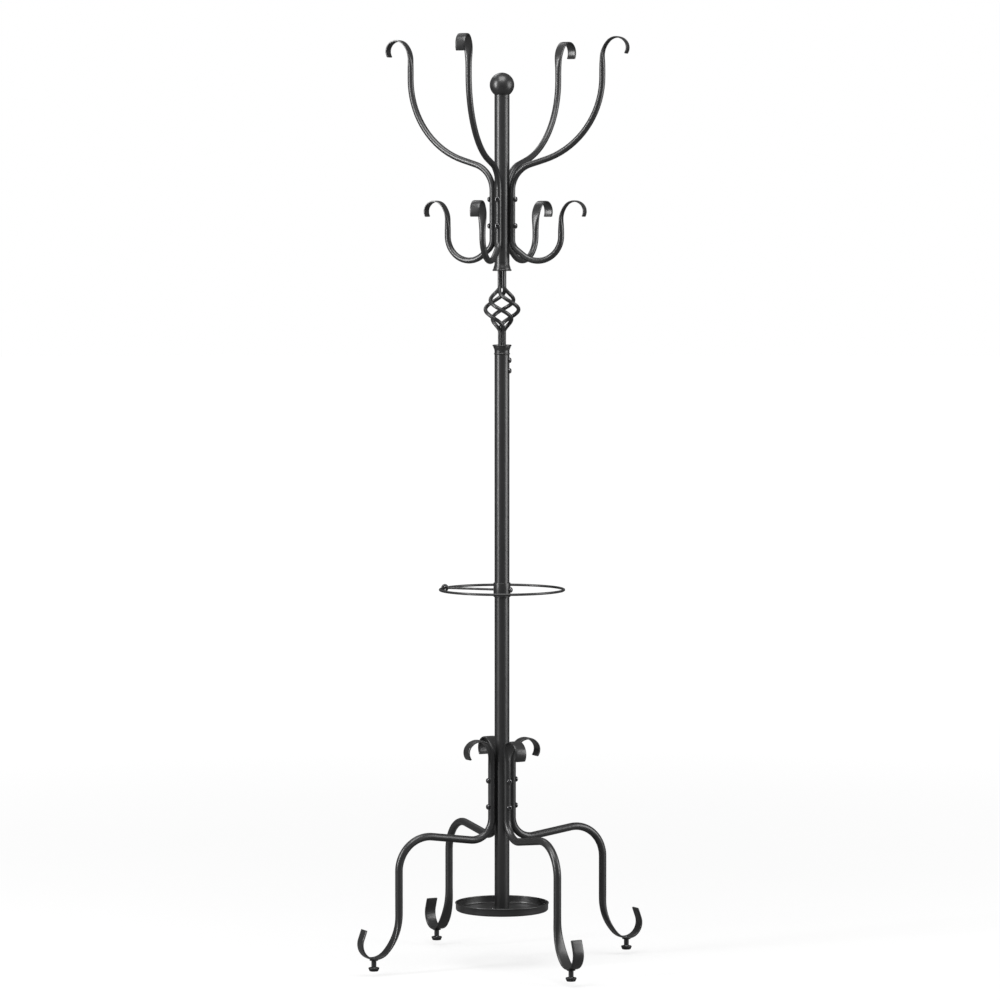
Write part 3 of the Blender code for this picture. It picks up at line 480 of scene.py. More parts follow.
def press_ends(piece, rings, radius, wall, flats, changes):
    """Rolls the two ends of a bent tube flat, to half its girth and two walls thick."""
    along = ring_lengths(rings)
    points = np.array([v.co for v in piece.data.vertices])
    middles = np.array([(r, 0.0, z) for r, z, _ in rings])
    gaps = np.linalg.norm(points[:, None, :] - middles[None, :, :], axis=2)
    owner = gaps.argmin(axis=1)
    for vertex, ring in zip(piece.data.vertices, owner):
        flat = max(
            flatness(along[ring], flats[0], changes[0]),
            flatness(along[-1] - along[ring], flats[1], changes[1]),
        )
        if flat <= 0.0:
            continue
        reach, height, heading = rings[ring]
        normal = Vector((-math.sin(heading), 0.0, math.cos(heading)))
        middle = Vector((reach, 0.0, height))
        turn = math.atan2((vertex.co - middle).dot(normal), vertex.co.y)
        power = 1.0 - flat * (1.0 - FLAT_ROUNDING)
        wide = radius + flat * (math.pi / 2.0 - 1.0) * radius
        thick = radius + flat * (wall - radius)
        across = math.copysign(abs(math.cos(turn)) ** power, math.cos(turn)) * wide
        through = math.copysign(abs(math.sin(turn)) ** power, math.sin(turn)) * thick
        vertex.co = middle + through * normal + Vector((0.0, across, 0.0))
    piece.data.update()


def ease_cut_ends(piece):
    """Takes the burr off the two sawn ends."""
    edit(piece)
    pick_faces(piece, lambda face: len(face.vertices) > 4)
    bpy.ops.mesh.bevel(offset=CUT_EDGE, segments=2, affect="EDGES")
    leave_edit()
    return piece


def arc_length(*bends):
    return sum(radius * math.radians(angle) for radius, angle in bends)


def rise_of_crest(curl, lead_angle):
    """How far a curl's crest stands above the start of the lead into it."""
    lead = math.radians(lead_angle)
    return HOOK_LEAD_RADIUS * math.sin(lead) + curl[0] * (1.0 - math.cos(lead))


def hook_bar(run_bottom):
    """One bar for hanging: the long arm above, the run on the post, the peg below."""
    reach = centre_radius("upper_post") + GAP + HOOK_TUBE_RADIUS
    middle = run_bottom + HOOK_RUN_LENGTH / 2.0
    run_top = run_bottom + HOOK_RUN_LENGTH

    lean = math.radians(90.0 - ARM_LEAVE[1])
    bends = ARM_LEAVE[0] + ARM_SWEEP_RADIUS
    slope = (ARM_REACH - reach - bends * (1.0 - math.sin(lean))) / math.cos(lean)
    risen = bends * math.cos(lean) + slope * math.sin(lean)
    crest = rise_of_crest(ARM_CURL, ARM_LEAD_ANGLE)
    upright = ARM_RISE - HOOK_TUBE_WALL - crest - risen
    arm = [
        (run_top - middle,),
        (ARM_LEAVE[0], -ARM_LEAVE[1]),
        (slope,),
        (ARM_SWEEP_RADIUS, ARM_LEAVE[1]),
        (upright,),
        (HOOK_LEAD_RADIUS, -ARM_LEAD_ANGLE),
        (ARM_CURL[0], -ARM_CURL[1]),
        (HOOK_TIP[0], -HOOK_TIP[1]),
    ]

    dip = math.radians(90.0 - PEG_LEAVE[1])
    leave = PEG_LEAVE[0] * (1.0 - math.sin(dip))
    bowl = PEG_BOWL_RADIUS * (1.0 + math.sin(dip))
    slope = (PEG_REACH - reach - (leave + bowl)) / math.cos(dip)
    fallen = (PEG_LEAVE[0] - PEG_BOWL_RADIUS) * math.cos(dip) + slope * math.sin(dip)
    crest = rise_of_crest(PEG_CURL, PEG_LEAD_ANGLE)
    upright = PEG_RISE - HOOK_TUBE_WALL - crest + fallen
    peg = [
        (middle - run_bottom,),
        PEG_LEAVE,
        (slope,),
        (PEG_BOWL_RADIUS, 180.0 - PEG_LEAVE[1]),
        (upright,),
        (HOOK_LEAD_RADIUS, -PEG_LEAD_ANGLE),
        (PEG_CURL[0], -PEG_CURL[1]),
        (HOOK_TIP[0], -HOOK_TIP[1]),
    ]

    tip = walk((reach, middle, math.pi / 2.0), arm)
    start = (tip[0], tip[1], tip[2] + math.pi)
    path = backwards(arm) + peg
    piece, rings = bent_tube("hook_bar", HOOK_TUBE_RADIUS, start, path)
    lead = (HOOK_LEAD_RADIUS, HOOK_LEAD_FLAT_ANGLE)
    flats = [arc_length(HOOK_TIP, curl, lead) for curl in (ARM_CURL, PEG_CURL)]
    changes = (HOOK_FLATTENING, HOOK_FLATTENING)
    press_ends(piece, rings, HOOK_TUBE_RADIUS, HOOK_TUBE_WALL, flats, changes)
    return smooth(ease_cut_ends(piece))


def leg_bar(run_bottom, strip_middle):
    """One leg: the scroll above, the run on the post, the arch and the flat toe."""
    reach = centre_radius("lower_post") + GAP + LEG_TUBE_RADIUS
    middle = run_bottom + LEG_RUN_LENGTH / 2.0
    scroll = [
        (LEG_RUN_LENGTH / 2.0,),
        (LEG_LEAD[0], -LEG_LEAD[1]),
        (LEG_CURL[0], -LEG_CURL[1]),
        (LEG_TIP[0], -LEG_TIP[1]),
    ]
    rise = math.radians(LEG_LEAVE[1] - 90.0)
    bends = LEG_LEAVE[0] + LEG_ARCH_RADIUS
    span = (LEG_REACH - reach - bends * (1.0 + math.sin(rise))) / math.cos(rise)
    shoulder = run_bottom - bends * math.cos(rise) + span * math.sin(rise)
    sweep = math.radians(LEG_SWEEP[1])
    drop = LEG_SWEEP[0] * math.sin(sweep) + LEG_HEEL_RADIUS * (1.0 - math.sin(sweep))
    heel = (LEG_HEEL_RADIUS, 90.0 - LEG_SWEEP[1])
    leg = [
        (LEG_RUN_LENGTH / 2.0,),
        LEG_LEAVE,
        (span,),
        (LEG_ARCH_RADIUS, -LEG_LEAVE[1]),
        (shoulder - drop - strip_middle,),
        LEG_SWEEP,
        heel,
        LEG_TOE,
        (LEG_TOE_STRAIGHT,),
    ]
    tip = walk((reach, middle, math.pi / 2.0), scroll)
    start = (tip[0], tip[1], tip[2] + math.pi)
    path = backwards(scroll) + leg
    piece, rings = bent_tube("leg", LEG_TUBE_RADIUS, start, path)
    flats = (
        arc_length(LEG_TIP, (LEG_CURL[0], LEG_CURL[1] - LEG_CURL_ROUND_ANGLE)),
        arc_length(LEG_TOE, heel) + LEG_TOE_STRAIGHT,
    )
    changes = (LEG_TOP_FLATTENING, LEG_FOOT_FLATTENING)
    press_ends(piece, rings, LEG_TUBE_RADIUS, LEG_TUBE_WALL, flats, changes)
    ease_cut_ends(piece)
    stud = centre("foot_stud_1")
    deselect()
    bpy.ops.mesh.primitive_cylinder_add(
        vertices=THREAD_SIDES,
        radius=STUD_HOLE_RADIUS,
        depth=4.0 * LEG_TUBE_WALL,
        location=(math.hypot(stud.x, stud.y), 0.0, strip_middle),
    )
    return smooth(cut(piece, bpy.context.object))


# Turned pieces ------------------------------------------------------------------------


def turned(name, profile, sides, middle=(0.0, 0.0)):
    """Turns a solid from a profile of (radius, height), by extruding a disc."""
    radius, height = profile[0]
    deselect()
    bpy.ops.mesh.primitive_circle_add(
        vertices=sides, radius=radius, fill_type="NGON", location=(*middle, height)
    )
    piece = open_new(name, "FACE")
    for next_radius, next_height in profile[1:]:
        extrude((0.0, 0.0, next_height - height))
        ratio = next_radius / radius
        if abs(ratio - 1.0) > 1e-9:
            bpy.ops.transform.resize(
                value=(ratio, ratio, 1.0), center_override=(*middle, next_height)
            )
        radius, height = next_radius, next_height
    close_outward()
    return piece


def arc_profile(middle, radius, start, end, steps):
    """Points of (radius, height) along an arc, in degrees from the level outwards."""
    points = []
    for i in range(steps + 1):
        turn = math.radians(start + (end - start) * i / steps)
        reach = middle[0] + radius * math.cos(turn)
        points.append((reach, middle[1] + radius * math.sin(turn)))
    return points


def flare(low, high, radius, flared):
    """The outline of a collar that widens upwards from the post to a rounded lip."""
    edge = COLLAR_LIP / 2.0
    steps = 8
    outline = []
    for i in range(steps + 1):
        share = i / steps
        reach = radius + (flared - edge - radius) * eased(share)
        outline.append((reach, low + (high - COLLAR_LIP - low) * share))
    return outline + arc_profile((flared - edge, high - edge), edge, -90.0, 90.0, steps)


def ball():
    """The finial: a ball cut flat where it sits on the post."""
    low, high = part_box("ball_finial")
    radius = (high[0] - low[0]) / 2.0
    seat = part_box("upper_post")[1][2] + EASY
    deselect()
    bpy.ops.mesh.primitive_uv_sphere_add(
        segments=64,
        ring_count=40,
        radius=radius - CLOSE,
        location=(0.0, 0.0, high[2] - radius),
    )
    piece = open_new("ball_finial", "VERT")
    bpy.ops.mesh.bisect(
        plane_co=(0.0, 0.0, seat),
        plane_no=(0.0, 0.0, 1.0),
        clear_inner=True,
        use_fill=True,
    )
    close_outward()
    return smooth(piece)


def post(node):
    """A length of post, with its wall and the start of the bore at its top."""
    low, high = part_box(node)
    radius = centre_radius(node) - SNUG
    bore = radius - POST_WALL
    profile = [
        (radius - POST_EDGE, low[2]),
        (radius, low[2] + POST_EDGE),
        (radius, high[2] - POST_EDGE),
        (radius - POST_EDGE, high[2]),
        (bore, high[2]),
        (bore, high[2] - BORE_SHOWN),
    ]
    return smooth(turned(node, profile, POST_SIDES))


def upper_collar():
    """The flare under the upper post, its spigot up in the bore."""
    low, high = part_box("upper_collar")
    radius = centre_radius("upper_post")
    flared = centre_radius("upper_collar")
    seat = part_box("upper_post")[0][2] - GAP
    top = seat - UPPER_COLLAR_LAND
    outline = flare(low[2], top, radius, flared)
    profile = [(reach, low[2] + top - z) for reach, z in reversed(outline)]
    profile += [
        (radius, seat),
        (radius - SPIGOT_STEP, seat),
        (radius - SPIGOT_STEP, high[2]),
    ]
    return smooth(turned("upper_collar", profile, POST_SIDES), FITTING_CREASE)


def lower_collar():
    """The flare on the lower post: a spigot, a round bead and a lip."""
    low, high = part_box("lower_collar")
    radius = centre_radius("lower_post")
    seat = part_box("lower_post")[1][2] + GAP
    flared = centre_radius("lower_collar")
    bead = (radius - COLLAR_BEAD_DEPTH, seat + COLLAR_BEAD_MIDDLE)
    profile = [
        (radius - SPIGOT_STEP, low[2]),
        (radius - SPIGOT_STEP, seat),
        (radius, seat),
        *arc_profile(bead, COLLAR_BEAD_RADIUS, -60.0, 60.0, 10),
        (radius, seat + COLLAR_BEAD_TOP),
        *flare(seat + LOWER_COLLAR_LAND, high[2], radius, flared),
    ]
    return smooth(turned("lower_collar", profile, POST_SIDES), FITTING_CREASE)


def basket_rod(index, bottom, top_of_socket, bottom_of_socket):
    """A rod drawn as a wire, straight in the bundles and swelling in the basket."""
    start = BASKET_START + index * math.pi / 2.0
    top = bottom + BASKET_HEIGHT
    path = [(BUNDLE_RADIUS, start, top_of_socket)]
    for i in range(ROD_STEPS + 1):
        share = i / ROD_STEPS
        swell = math.sin(math.pi * share) ** BASKET_SWELL
        radius = BUNDLE_RADIUS + (BASKET_RADIUS - BUNDLE_RADIUS) * swell
        path.append((radius, start + BASKET_TWIST * share, top - BASKET_HEIGHT * share))
    path.append((BUNDLE_RADIUS, start + BASKET_TWIST, bottom_of_socket))
    curve = bpy.data.curves.new("basket_rod", "CURVE")
    curve.dimensions = "3D"
    curve.bevel_depth = ROD_RADIUS
    curve.bevel_resolution = 6
    curve.use_fill_caps = True
    spline = curve.splines.new("POLY")
    spline.points.add(len(path) - 1)
    for point, (radius, angle, height) in zip(spline.points, path):
        point.co = (radius * math.cos(angle), radius * math.sin(angle), height, 1.0)
    rod = bpy.data.objects.new("basket_rod", curve)
    bpy.context.scene.collection.objects.link(rod)
    select_only(rod)
    bpy.ops.object.convert(target="MESH")
    return smooth(bpy.context.object, WIRE_CREASE)


# Screws and nuts ----------------------------------------------------------------------


def button_screw():
    """A button-head screw standing on Z = 0, with a six-sided socket in its head."""
    rim = SOCKET_RADIUS + SOCKET_RIM
    dome = SCREW_HEAD_HEIGHT - SCREW_HEAD_BAND
    profile = [
        (SCREW_RADIUS, -SCREW_SHANK),
        (SCREW_RADIUS, 0.0),
        (SCREW_HEAD_RADIUS - SCREW_HEAD_EDGE, 0.0),
        (SCREW_HEAD_RADIUS, SCREW_HEAD_EDGE),
    ]
    steps = 8
    for i in range(1, steps + 1):
        turn = math.radians(90.0 * i / steps)
        share = math.cos(turn) ** SCREW_HEAD_FULLNESS
        radius = rim + (SCREW_HEAD_RADIUS - rim) * share
        profile.append((radius, SCREW_HEAD_BAND + dome * math.sin(turn)))
    screw = turned("button_screw", profile, SCREW_SIDES)
    deselect()
    bpy.ops.mesh.primitive_cylinder_add(
        vertices=6,
        radius=SOCKET_RADIUS,
        depth=2.0 * SOCKET_DEPTH,
        location=(0.0, 0.0, SCREW_HEAD_HEIGHT),
    )
    socket = bpy.context.object
    break_corners(socket)
    settle(socket)
    return smooth(cut(screw, socket), SCREW_CREASE)


def pan_screw():
    """A small pan-head screw with a cross recess, standing on Z = 0."""
    profile = [
        (TRAY_SCREW_RADIUS, -TRAY_SCREW_SHANK),
        (TRAY_SCREW_RADIUS, 0.0),
        (TRAY_SCREW_HEAD_RADIUS - EASY, 0.0),
        (TRAY_SCREW_HEAD_RADIUS, TRAY_SCREW_HEAD_EDGE),
    ]
    steps = 6
    for i in range(1, steps + 1):
        turn = math.radians(TRAY_SCREW_DOME_ANGLE * i / steps)
        radius = TRAY_SCREW_HEAD_RADIUS * math.cos(turn) ** TRAY_SCREW_FULLNESS
        height = TRAY_SCREW_HEAD_EDGE + TRAY_SCREW_DOME * math.sin(turn)
        profile.append((radius, height))
    screw = turned("pan_screw", profile, THREAD_SIDES)
    for turn in (0.0, math.pi / 2.0):
        deselect()
        bpy.ops.mesh.primitive_cube_add(size=1.0, location=(0.0, 0.0, CROSS_HEIGHT))
        slot = bpy.context.object
        slot.scale = CROSS_SIZE
        slot.rotation_euler.z = turn
        settle(slot)
        break_corners(slot)
        cut(screw, slot)
    return smooth(screw, SCREW_CREASE)


def cap_nut(height):
    """A domed nut standing on Z = 0: six flats under a round dome."""
    low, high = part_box("ring_cap_nut")
    radius = (high[2] - low[2]) / 2.0 - EASY
    seat, shoulder, dome = radius * 0.90, radius * 0.86, radius * 0.80
    flats, ledge, dome_foot = height * 0.42, height * 0.48, height * 0.50
    profile = [(seat, 0.0), (radius, CAP_NUT_CHAMFER), (radius, flats)]
    profile.append((shoulder, ledge))
    steps = 8
    for i in range(1, steps + 1):
        turn = math.radians(CAP_NUT_DOME_ANGLE * i / steps)
        reach = dome * math.cos(turn) + CAP_NUT_TIP
        profile.append((reach, dome_foot + (height - dome_foot) * math.sin(turn)))
    nut = turned("cap_nut", profile, SCREW_SIDES)
    across = radius * math.cos(math.pi / 6.0)
    for vertex in nut.data.vertices:
        if vertex.co.z > (flats + ledge) / 2.0:
            continue
        turn = math.atan2(vertex.co.y, vertex.co.x)
        sector = (turn + math.pi / 6.0) % (math.pi / 3.0) - math.pi / 6.0
        limit = across / math.cos(sector)
        reach = math.hypot(vertex.co.x, vertex.co.y)
        if reach > limit:
            vertex.co.x *= limit / reach
            vertex.co.y *= limit / reach
    return smooth(nut, NUT_CREASE)


# Feet, ring and tray ------------------------------------------------------------------


def foot_sleeve(node):
    """A threaded sleeve with a flange under the toe and a fillet between them."""
    low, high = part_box(node)
    middle = centre(node)
    flange = (high[0] - low[0]) / 2.0 - CLOSE
    rim = high[2] - SLEEVE_FLANGE
    fillet = (SLEEVE_RADIUS + SLEEVE_FILLET, high[2] - SLEEVE_FILLET_DROP)
    profile = [
        (SLEEVE_BORE, low[2]),
        (SLEEVE_RADIUS - SLEEVE_EDGE, low[2]),
        (SLEEVE_RADIUS, low[2] + SLEEVE_EDGE),
        (SLEEVE_RADIUS, fillet[1] - 2.0 * EASY),
        *arc_profile(fillet, SLEEVE_FILLET, 180.0, 100.0, 6),
        (flange - SLEEVE_EDGE, rim - SLEEVE_EDGE),
        (flange, rim),
        (flange, high[2]),
    ]
    piece = turned(node, profile, SCREW_SIDES, (middle.x, middle.y))
    return smooth(piece, FITTING_CREASE)


def foot_stud(node):
    """The stud with its thread, one groove a turn, and its flange in the pad."""
    low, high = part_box(node)
    middle = centre(node)
    neck = low[2] + STUD_FLANGE + STUD_CREST
    profile = [
        (STUD_FLANGE_RADIUS - EASY, low[2]),
        (STUD_FLANGE_RADIUS, low[2] + EASY),
        (STUD_FLANGE_RADIUS, low[2] + STUD_FLANGE),
        (STUD_ROOT, neck),
    ]
    height = neck + STUD_FLANK
    while height < high[2] - STUD_PITCH - EASY:
        profile += [
            (STUD_ROOT, height),
            (SCREW_RADIUS, height + STUD_FLANK),
            (SCREW_RADIUS, height + STUD_FLANK + STUD_CREST),
        ]
        height += STUD_PITCH
    profile += [(STUD_ROOT, height), (STUD_ROOT - STUD_END, high[2])]
    piece = turned(node, profile, THREAD_SIDES, (middle.x, middle.y))
    return smooth(piece, THREAD_CREASE)


def foot_pad(node):
    """A moulded pad, wider at the top, with ribs for the fingers round its side."""
    low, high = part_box(node)
    middle = centre(node)
    top = high[2]
    wide = (high[0] - low[0]) / 2.0 - CLOSE
    brim = (wide - PAD_TOP_EDGE, top - PAD_TOP_EDGE)
    floor = top - PAD_WELL_DEPTH
    profile = [(PAD_FOOT - back, rise) for back, rise in PAD_FOOT_EDGE]
    profile += [(wide, top - drop) for drop in PAD_RIM]
    profile += arc_profile(brim, PAD_TOP_EDGE, 10.0, 90.0, 5)
    profile += [(PAD_WELL + PAD_WELL_DEPTH, top), (PAD_WELL, floor)]
    profile.append((PAD_WELL - PAD_TOP_EDGE, floor))
    pad = turned(node, profile, PAD_SIDES, (middle.x, middle.y))

    def in_groove(face):
        if not PAD_GROOVE_ENDS[0] < face.center.z < top - PAD_GROOVE_ENDS[1]:
            return False
        turn = math.atan2(face.center.y - middle.y, face.center.x - middle.x)
        side = int((turn + math.pi) / (2.0 * math.pi) * PAD_SIDES)
        return side % PAD_RIB_SIDES < PAD_RIB_SIDES // 2

    edit(pad)
    pick_faces(pad, in_groove)
    bpy.ops.mesh.inset(
        thickness=PAD_GROOVE_MARGIN, depth=-PAD_GROOVE_DEPTH, use_even_offset=True
    )
    leave_edit()
    return smooth(pad, SCREW_CREASE)


def umbrella_ring():
    low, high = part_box("umbrella_ring")
    deselect()
    bpy.ops.mesh.primitive_torus_add(
        major_segments=160,
        minor_segments=20,
        major_radius=(high[0] - low[0]) / 2.0 - RING_WIRE - SNUG,
        minor_radius=RING_WIRE,
        location=(0.0, 0.0, (low[2] + high[2]) / 2.0),
    )
    return smooth(settle(bpy.context.object), RING_CREASE)


def ring_spoke():
    """The eye bolt: a wire through the post, rolled into an eye round the ring."""
    height = centre("ring_spoke").z
    ring_low, ring_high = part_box("umbrella_ring")
    ring_radius = (ring_high[0] - ring_low[0]) / 2.0 - RING_WIRE
    eye = RING_WIRE + GAP + SPOKE_WIRE + GAP
    bend = eye * SPOKE_BEND
    lift = math.acos(bend / (bend + eye))
    run = ring_radius - (bend + eye) * math.sin(lift)
    turn = math.degrees(lift)
    moves = [(SPOKE_TAIL + run,), (bend, turn), (eye, -turn - SPOKE_WRAP)]
    piece, _ = bent_tube("ring_spoke", SPOKE_WIRE, (-SPOKE_TAIL, height, 0.0), moves)
    return smooth(ease_cut_ends(piece), WIRE_CREASE)


def ring_collar():
    """The plain sleeve round the post where the eye bolt goes through it."""
    low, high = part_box("ring_collar")
    side = centre_radius("ring_collar") - SNUG - RING_COLLAR_EDGE
    inner = centre_radius("lower_post") + EASY
    edge = RING_COLLAR_EDGE
    profile = [
        (inner, low[2]),
        (side, low[2]),
        *arc_profile((side, low[2] + edge), edge, -80.0, 0.0, 5),
        *arc_profile((side, high[2] - edge), edge, 0.0, 80.0, 5),
        (side, high[2]),
        (inner, high[2]),
    ]
    return smooth(turned("ring_collar", profile, POST_SIDES), FITTING_CREASE)


def drip_tray():
    """A pressed dish: a flat base with a shallow step, a curved corner, a bead."""
    low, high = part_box("drip_tray")
    base, rim = low[2], high[2] - TRAY_BEAD
    outer = centre_radius("drip_tray") - EASY
    side = outer - TRAY_BEAD
    corner = (side - TRAY_CORNER, base + TRAY_CORNER)
    floor = base + TRAY_WALL
    profile = [(reach, base + rise) for reach, rise in TRAY_STEP_BELOW]
    profile += arc_profile(corner, TRAY_CORNER, -90.0, 0.0, 8)
    profile.append((side, rim - TRAY_BEAD - TRAY_BEAD_GAP))
    profile += arc_profile((outer - TRAY_BEAD, rim), TRAY_BEAD, -70.0, 180.0, 16)
    profile.append((side - TRAY_WALL, rim - TRAY_BEAD))
    profile += arc_profile(corner, TRAY_CORNER - TRAY_WALL, 0.0, -90.0, 6)
    profile += [(reach, floor + rise) for reach, rise in TRAY_STEP_ABOVE]
    return smooth(turned("drip_tray", profile, TRAY_SIDES))


def foot_flange():
    """The plug's flange, which the tray is screwed to."""
    low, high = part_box("post_foot_plug")
    radius = centre_radius("post_foot_plug") - SNUG
    plug = centre_radius("lower_post") - PLUG_STEP
    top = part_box("lower_post")[0][2] - GAP
    profile = [
        (radius - PLUG_EDGE, low[2]),
        (radius, low[2] + PLUG_EDGE),
        (radius, top - PLUG_EDGE),
        (radius - PLUG_EDGE, top),
        (plug, top),
        (plug, high[2]),
    ]
    return smooth(turned("post_foot_plug", profile, POST_SIDES))


# Finishes -----------------------------------------------------------------------------


def add_node(tree, kind, values=None, **settings):
    """Adds a node with its settings and the values of its sockets."""
    node = tree.nodes.new(kind)
    for name, value in settings.items():
        setattr(node, name, value)
    for socket, value in (values or {}).items():
        node.inputs[socket].default_value = value
    return node


def add_noise(tree, place, values):
    """Noise that lies fast on the piece."""
    noise = add_node(tree, "ShaderNodeTexNoise", values)
    tree.links.new(place.outputs["Object"], noise.inputs["Vector"])
    return noise


def add_ranged(tree, source, values):
    """Brings a value into another range."""
    ranged = add_node(tree, "ShaderNodeMapRange", values)
    tree.links.new(source, ranged.inputs["Value"])
    return ranged.outputs["Result"]


def add_maths(tree, operation, first, second):
    maths = add_node(tree, "ShaderNodeMath", operation=operation)
    tree.links.new(first, maths.inputs[0])
    tree.links.new(second, maths.inputs[1])
    return maths.outputs["Value"]


def add_layer(tree, mask, under, colour):
    """Lays a colour over what is under it, as far as the mask goes."""
    over = add_node(tree, "ShaderNodeMix", data_type="RGBA")
    over.inputs["B"].default_value = (*colour, 1.0)
    tree.links.new(mask, over.inputs["Factor"])
    if isinstance(under, tuple):
        over.inputs["A"].default_value = (*under, 1.0)
    else:
        tree.links.new(under, over.inputs["A"])
    return over.outputs["Result"]


def make_surface_group():
    """What any finish uses: fine texel, broad drift, dust on top and rubbed edges,
    which on the black screws and nuts are a painted glint.
    """
    group = bpy.data.node_groups.new("surface_detail", "ShaderNodeTree")
    face = group.interface
    for name, value in (("Texel", 900.0), ("Drift", 9.0), ("Dust", 0.3), ("Wear and Glint", 0.4)):
        socket = face.new_socket(
            name=name, in_out="INPUT", socket_type="NodeSocketFloat"
        )
        socket.default_value = value
    for name in ("Height", "Drift Mask", "Dust Mask", "Wear and Glint Mask"):
        face.new_socket(name=name, in_out="OUTPUT", socket_type="NodeSocketFloat")
    links = group.links
    entry = add_node(group, "NodeGroupInput")
    leave = add_node(group, "NodeGroupOutput")
    place = add_node(group, "ShaderNodeTexCoord")
    shape = add_node(group, "ShaderNodeNewGeometry")

    texel = add_noise(group, place, {"Detail": 3.0, "Roughness": 0.55})
    links.new(entry.outputs["Texel"], texel.inputs["Scale"])
    links.new(texel.outputs["Fac"], leave.inputs["Height"])

    drift = add_noise(group, place, {"Detail": 4.0, "Roughness": 0.6})
    links.new(entry.outputs["Drift"], drift.inputs["Scale"])
    links.new(drift.outputs["Fac"], leave.inputs["Drift Mask"])

    split = add_node(group, "ShaderNodeSeparateXYZ")
    links.new(shape.outputs["Normal"], split.inputs["Vector"])
    upward = add_ranged(group, split.outputs["Z"], {"From Min": 0.35, "From Max": 1.0})
    settled = add_noise(group, place, {"Scale": 160.0, "Detail": 5.0})
    dust = add_maths(group, "MULTIPLY", upward, settled.outputs["Fac"])
    dust = add_maths(group, "MULTIPLY", dust, entry.outputs["Dust"])
    links.new(dust, leave.inputs["Dust Mask"])

    # Sharp edges picked out by this mask: worn paint on most finishes, painted glints
    # on the black screws and nuts
    sharp = {"From Min": 0.57, "From Max": 0.72}
    edges = add_ranged(group, shape.outputs["Pointiness"], sharp)
    broken = add_noise(group, place, {"Scale": 90.0, "Detail": 4.0})
    wear_and_glint = add_maths(group, "MULTIPLY", edges, broken.outputs["Fac"])
    wear_and_glint = add_maths(group, "MULTIPLY", wear_and_glint, entry.outputs["Wear and Glint"])
    links.new(wear_and_glint, leave.inputs["Wear and Glint Mask"])
    return group


def make_finish(name, look):
    """A finish whose colour, gloss and relief change with the surface group."""
    material = bpy.data.materials.new(name)
    material.use_nodes = True
    tree = material.node_tree
    shader = tree.nodes["Principled BSDF"]
    shader.inputs["Metallic"].default_value = look["metallic"]
    shader.inputs["Coat Weight"].default_value = look["coat"]
    shader.inputs["Coat Roughness"].default_value = look["coat_roughness"]
    shader.inputs["Specular IOR Level"].default_value = look["specular"]

    detail = add_node(tree, "ShaderNodeGroup", node_tree=surface_detail)
    for key in ("Texel", "Drift", "Dust", "Wear and Glint"):
        detail.inputs[key].default_value = look[key]
    drift = detail.outputs["Drift Mask"]
    dust = detail.outputs["Dust Mask"]

    colour = add_layer(tree, drift, look["dark"], look["light"])
    colour = add_layer(tree, dust, colour, DUST_COLOUR)
    # The edge colour: worn edges on most finishes, a painted highlight on the black
    # screws and nuts
    colour = add_layer(tree, detail.outputs["Wear and Glint Mask"], colour, look["worn_edge_and_glint"])
    tree.links.new(colour, shader.inputs["Base Color"])

    glossy, matt = look["rough"]
    gloss = add_ranged(tree, drift, {"To Min": glossy, "To Max": matt})
    gloss = add_maths(tree, "ADD", gloss, dust)
    tree.links.new(gloss, shader.inputs["Roughness"])

    relief = add_node(
        tree,
        "ShaderNodeBump",
        {"Strength": look["relief"], "Distance": look["relief_depth"]},
    )
    tree.links.new(detail.outputs["Height"], relief.inputs["Height"])
    tree.links.new(relief.outputs["Normal"], shader.inputs["Normal"])
    return material


surface_detail = make_surface_group()

powder_coat = make_finish(
    "charcoal_powder_coat",
    {
        "dark": (0.015, 0.015, 0.0155),
        "light": (0.024, 0.024, 0.0245),
        "worn_edge_and_glint": (0.060, 0.060, 0.062),
        "rough": (0.32, 0.40),
        "metallic": 0.0,
        "coat": 0.18,
        "coat_roughness": 0.22,
        "specular": 0.55,
        "relief": 0.05,
        "relief_depth": 0.0001,
        "Texel": 700.0,
        "Drift": 14.0,
        "Dust": 0.02,
        "Wear and Glint": 0.35,
    },
)
# Its light edge colour and strong edge mask paint glints round the screw heads and
# nuts; they are painted highlights, not wear
black_oxide = make_finish(
    "black_oxide",
    {
        "dark": (0.070, 0.070, 0.072),
        "light": (0.120, 0.120, 0.123),
        "worn_edge_and_glint": (0.60, 0.60, 0.61),
        "rough": (0.16, 0.24),
        "metallic": 0.90,
        "coat": 0.5,
        "coat_roughness": 0.10,
        "specular": 0.6,
        "relief": 0.05,
        "relief_depth": 0.0001,
        "Texel": 2600.0,
        "Drift": 260.0,
        "Dust": 0.02,
        "Wear and Glint": 2.2,
    },
)
moulded_nylon = make_finish(
    "moulded_nylon",
    {
        "dark": (0.012, 0.012, 0.013),
        "light": (0.024, 0.024, 0.025),
        "worn_edge_and_glint": (0.05, 0.05, 0.052),
        "rough": (0.46, 0.60),
        "metallic": 0.0,
        "coat": 0.0,
        "coat_roughness": 0.3,
        "specular": 0.45,
        "relief": 0.30,
        "relief_depth": 0.0002,
        "Texel": 1800.0,
        "Drift": 120.0,
        "Dust": 0.10,
        "Wear and Glint": 0.3,
    },
)
zinc_plate = make_finish(
    "zinc_plate",
    {
        "dark": (0.42, 0.43, 0.45),
        "light": (0.60, 0.61, 0.62),
        "worn_edge_and_glint": (0.75, 0.75, 0.76),
        "rough": (0.22, 0.36),
        "metallic": 1.0,
        "coat": 0.0,
        "coat_roughness": 0.1,
        "specular": 0.5,
        "relief": 0.12,
        "relief_depth": 0.0001,
        "Texel": 2200.0,
        "Drift": 300.0,
        "Dust": 0.05,
        "Wear and Glint": 0.5,
    },
)
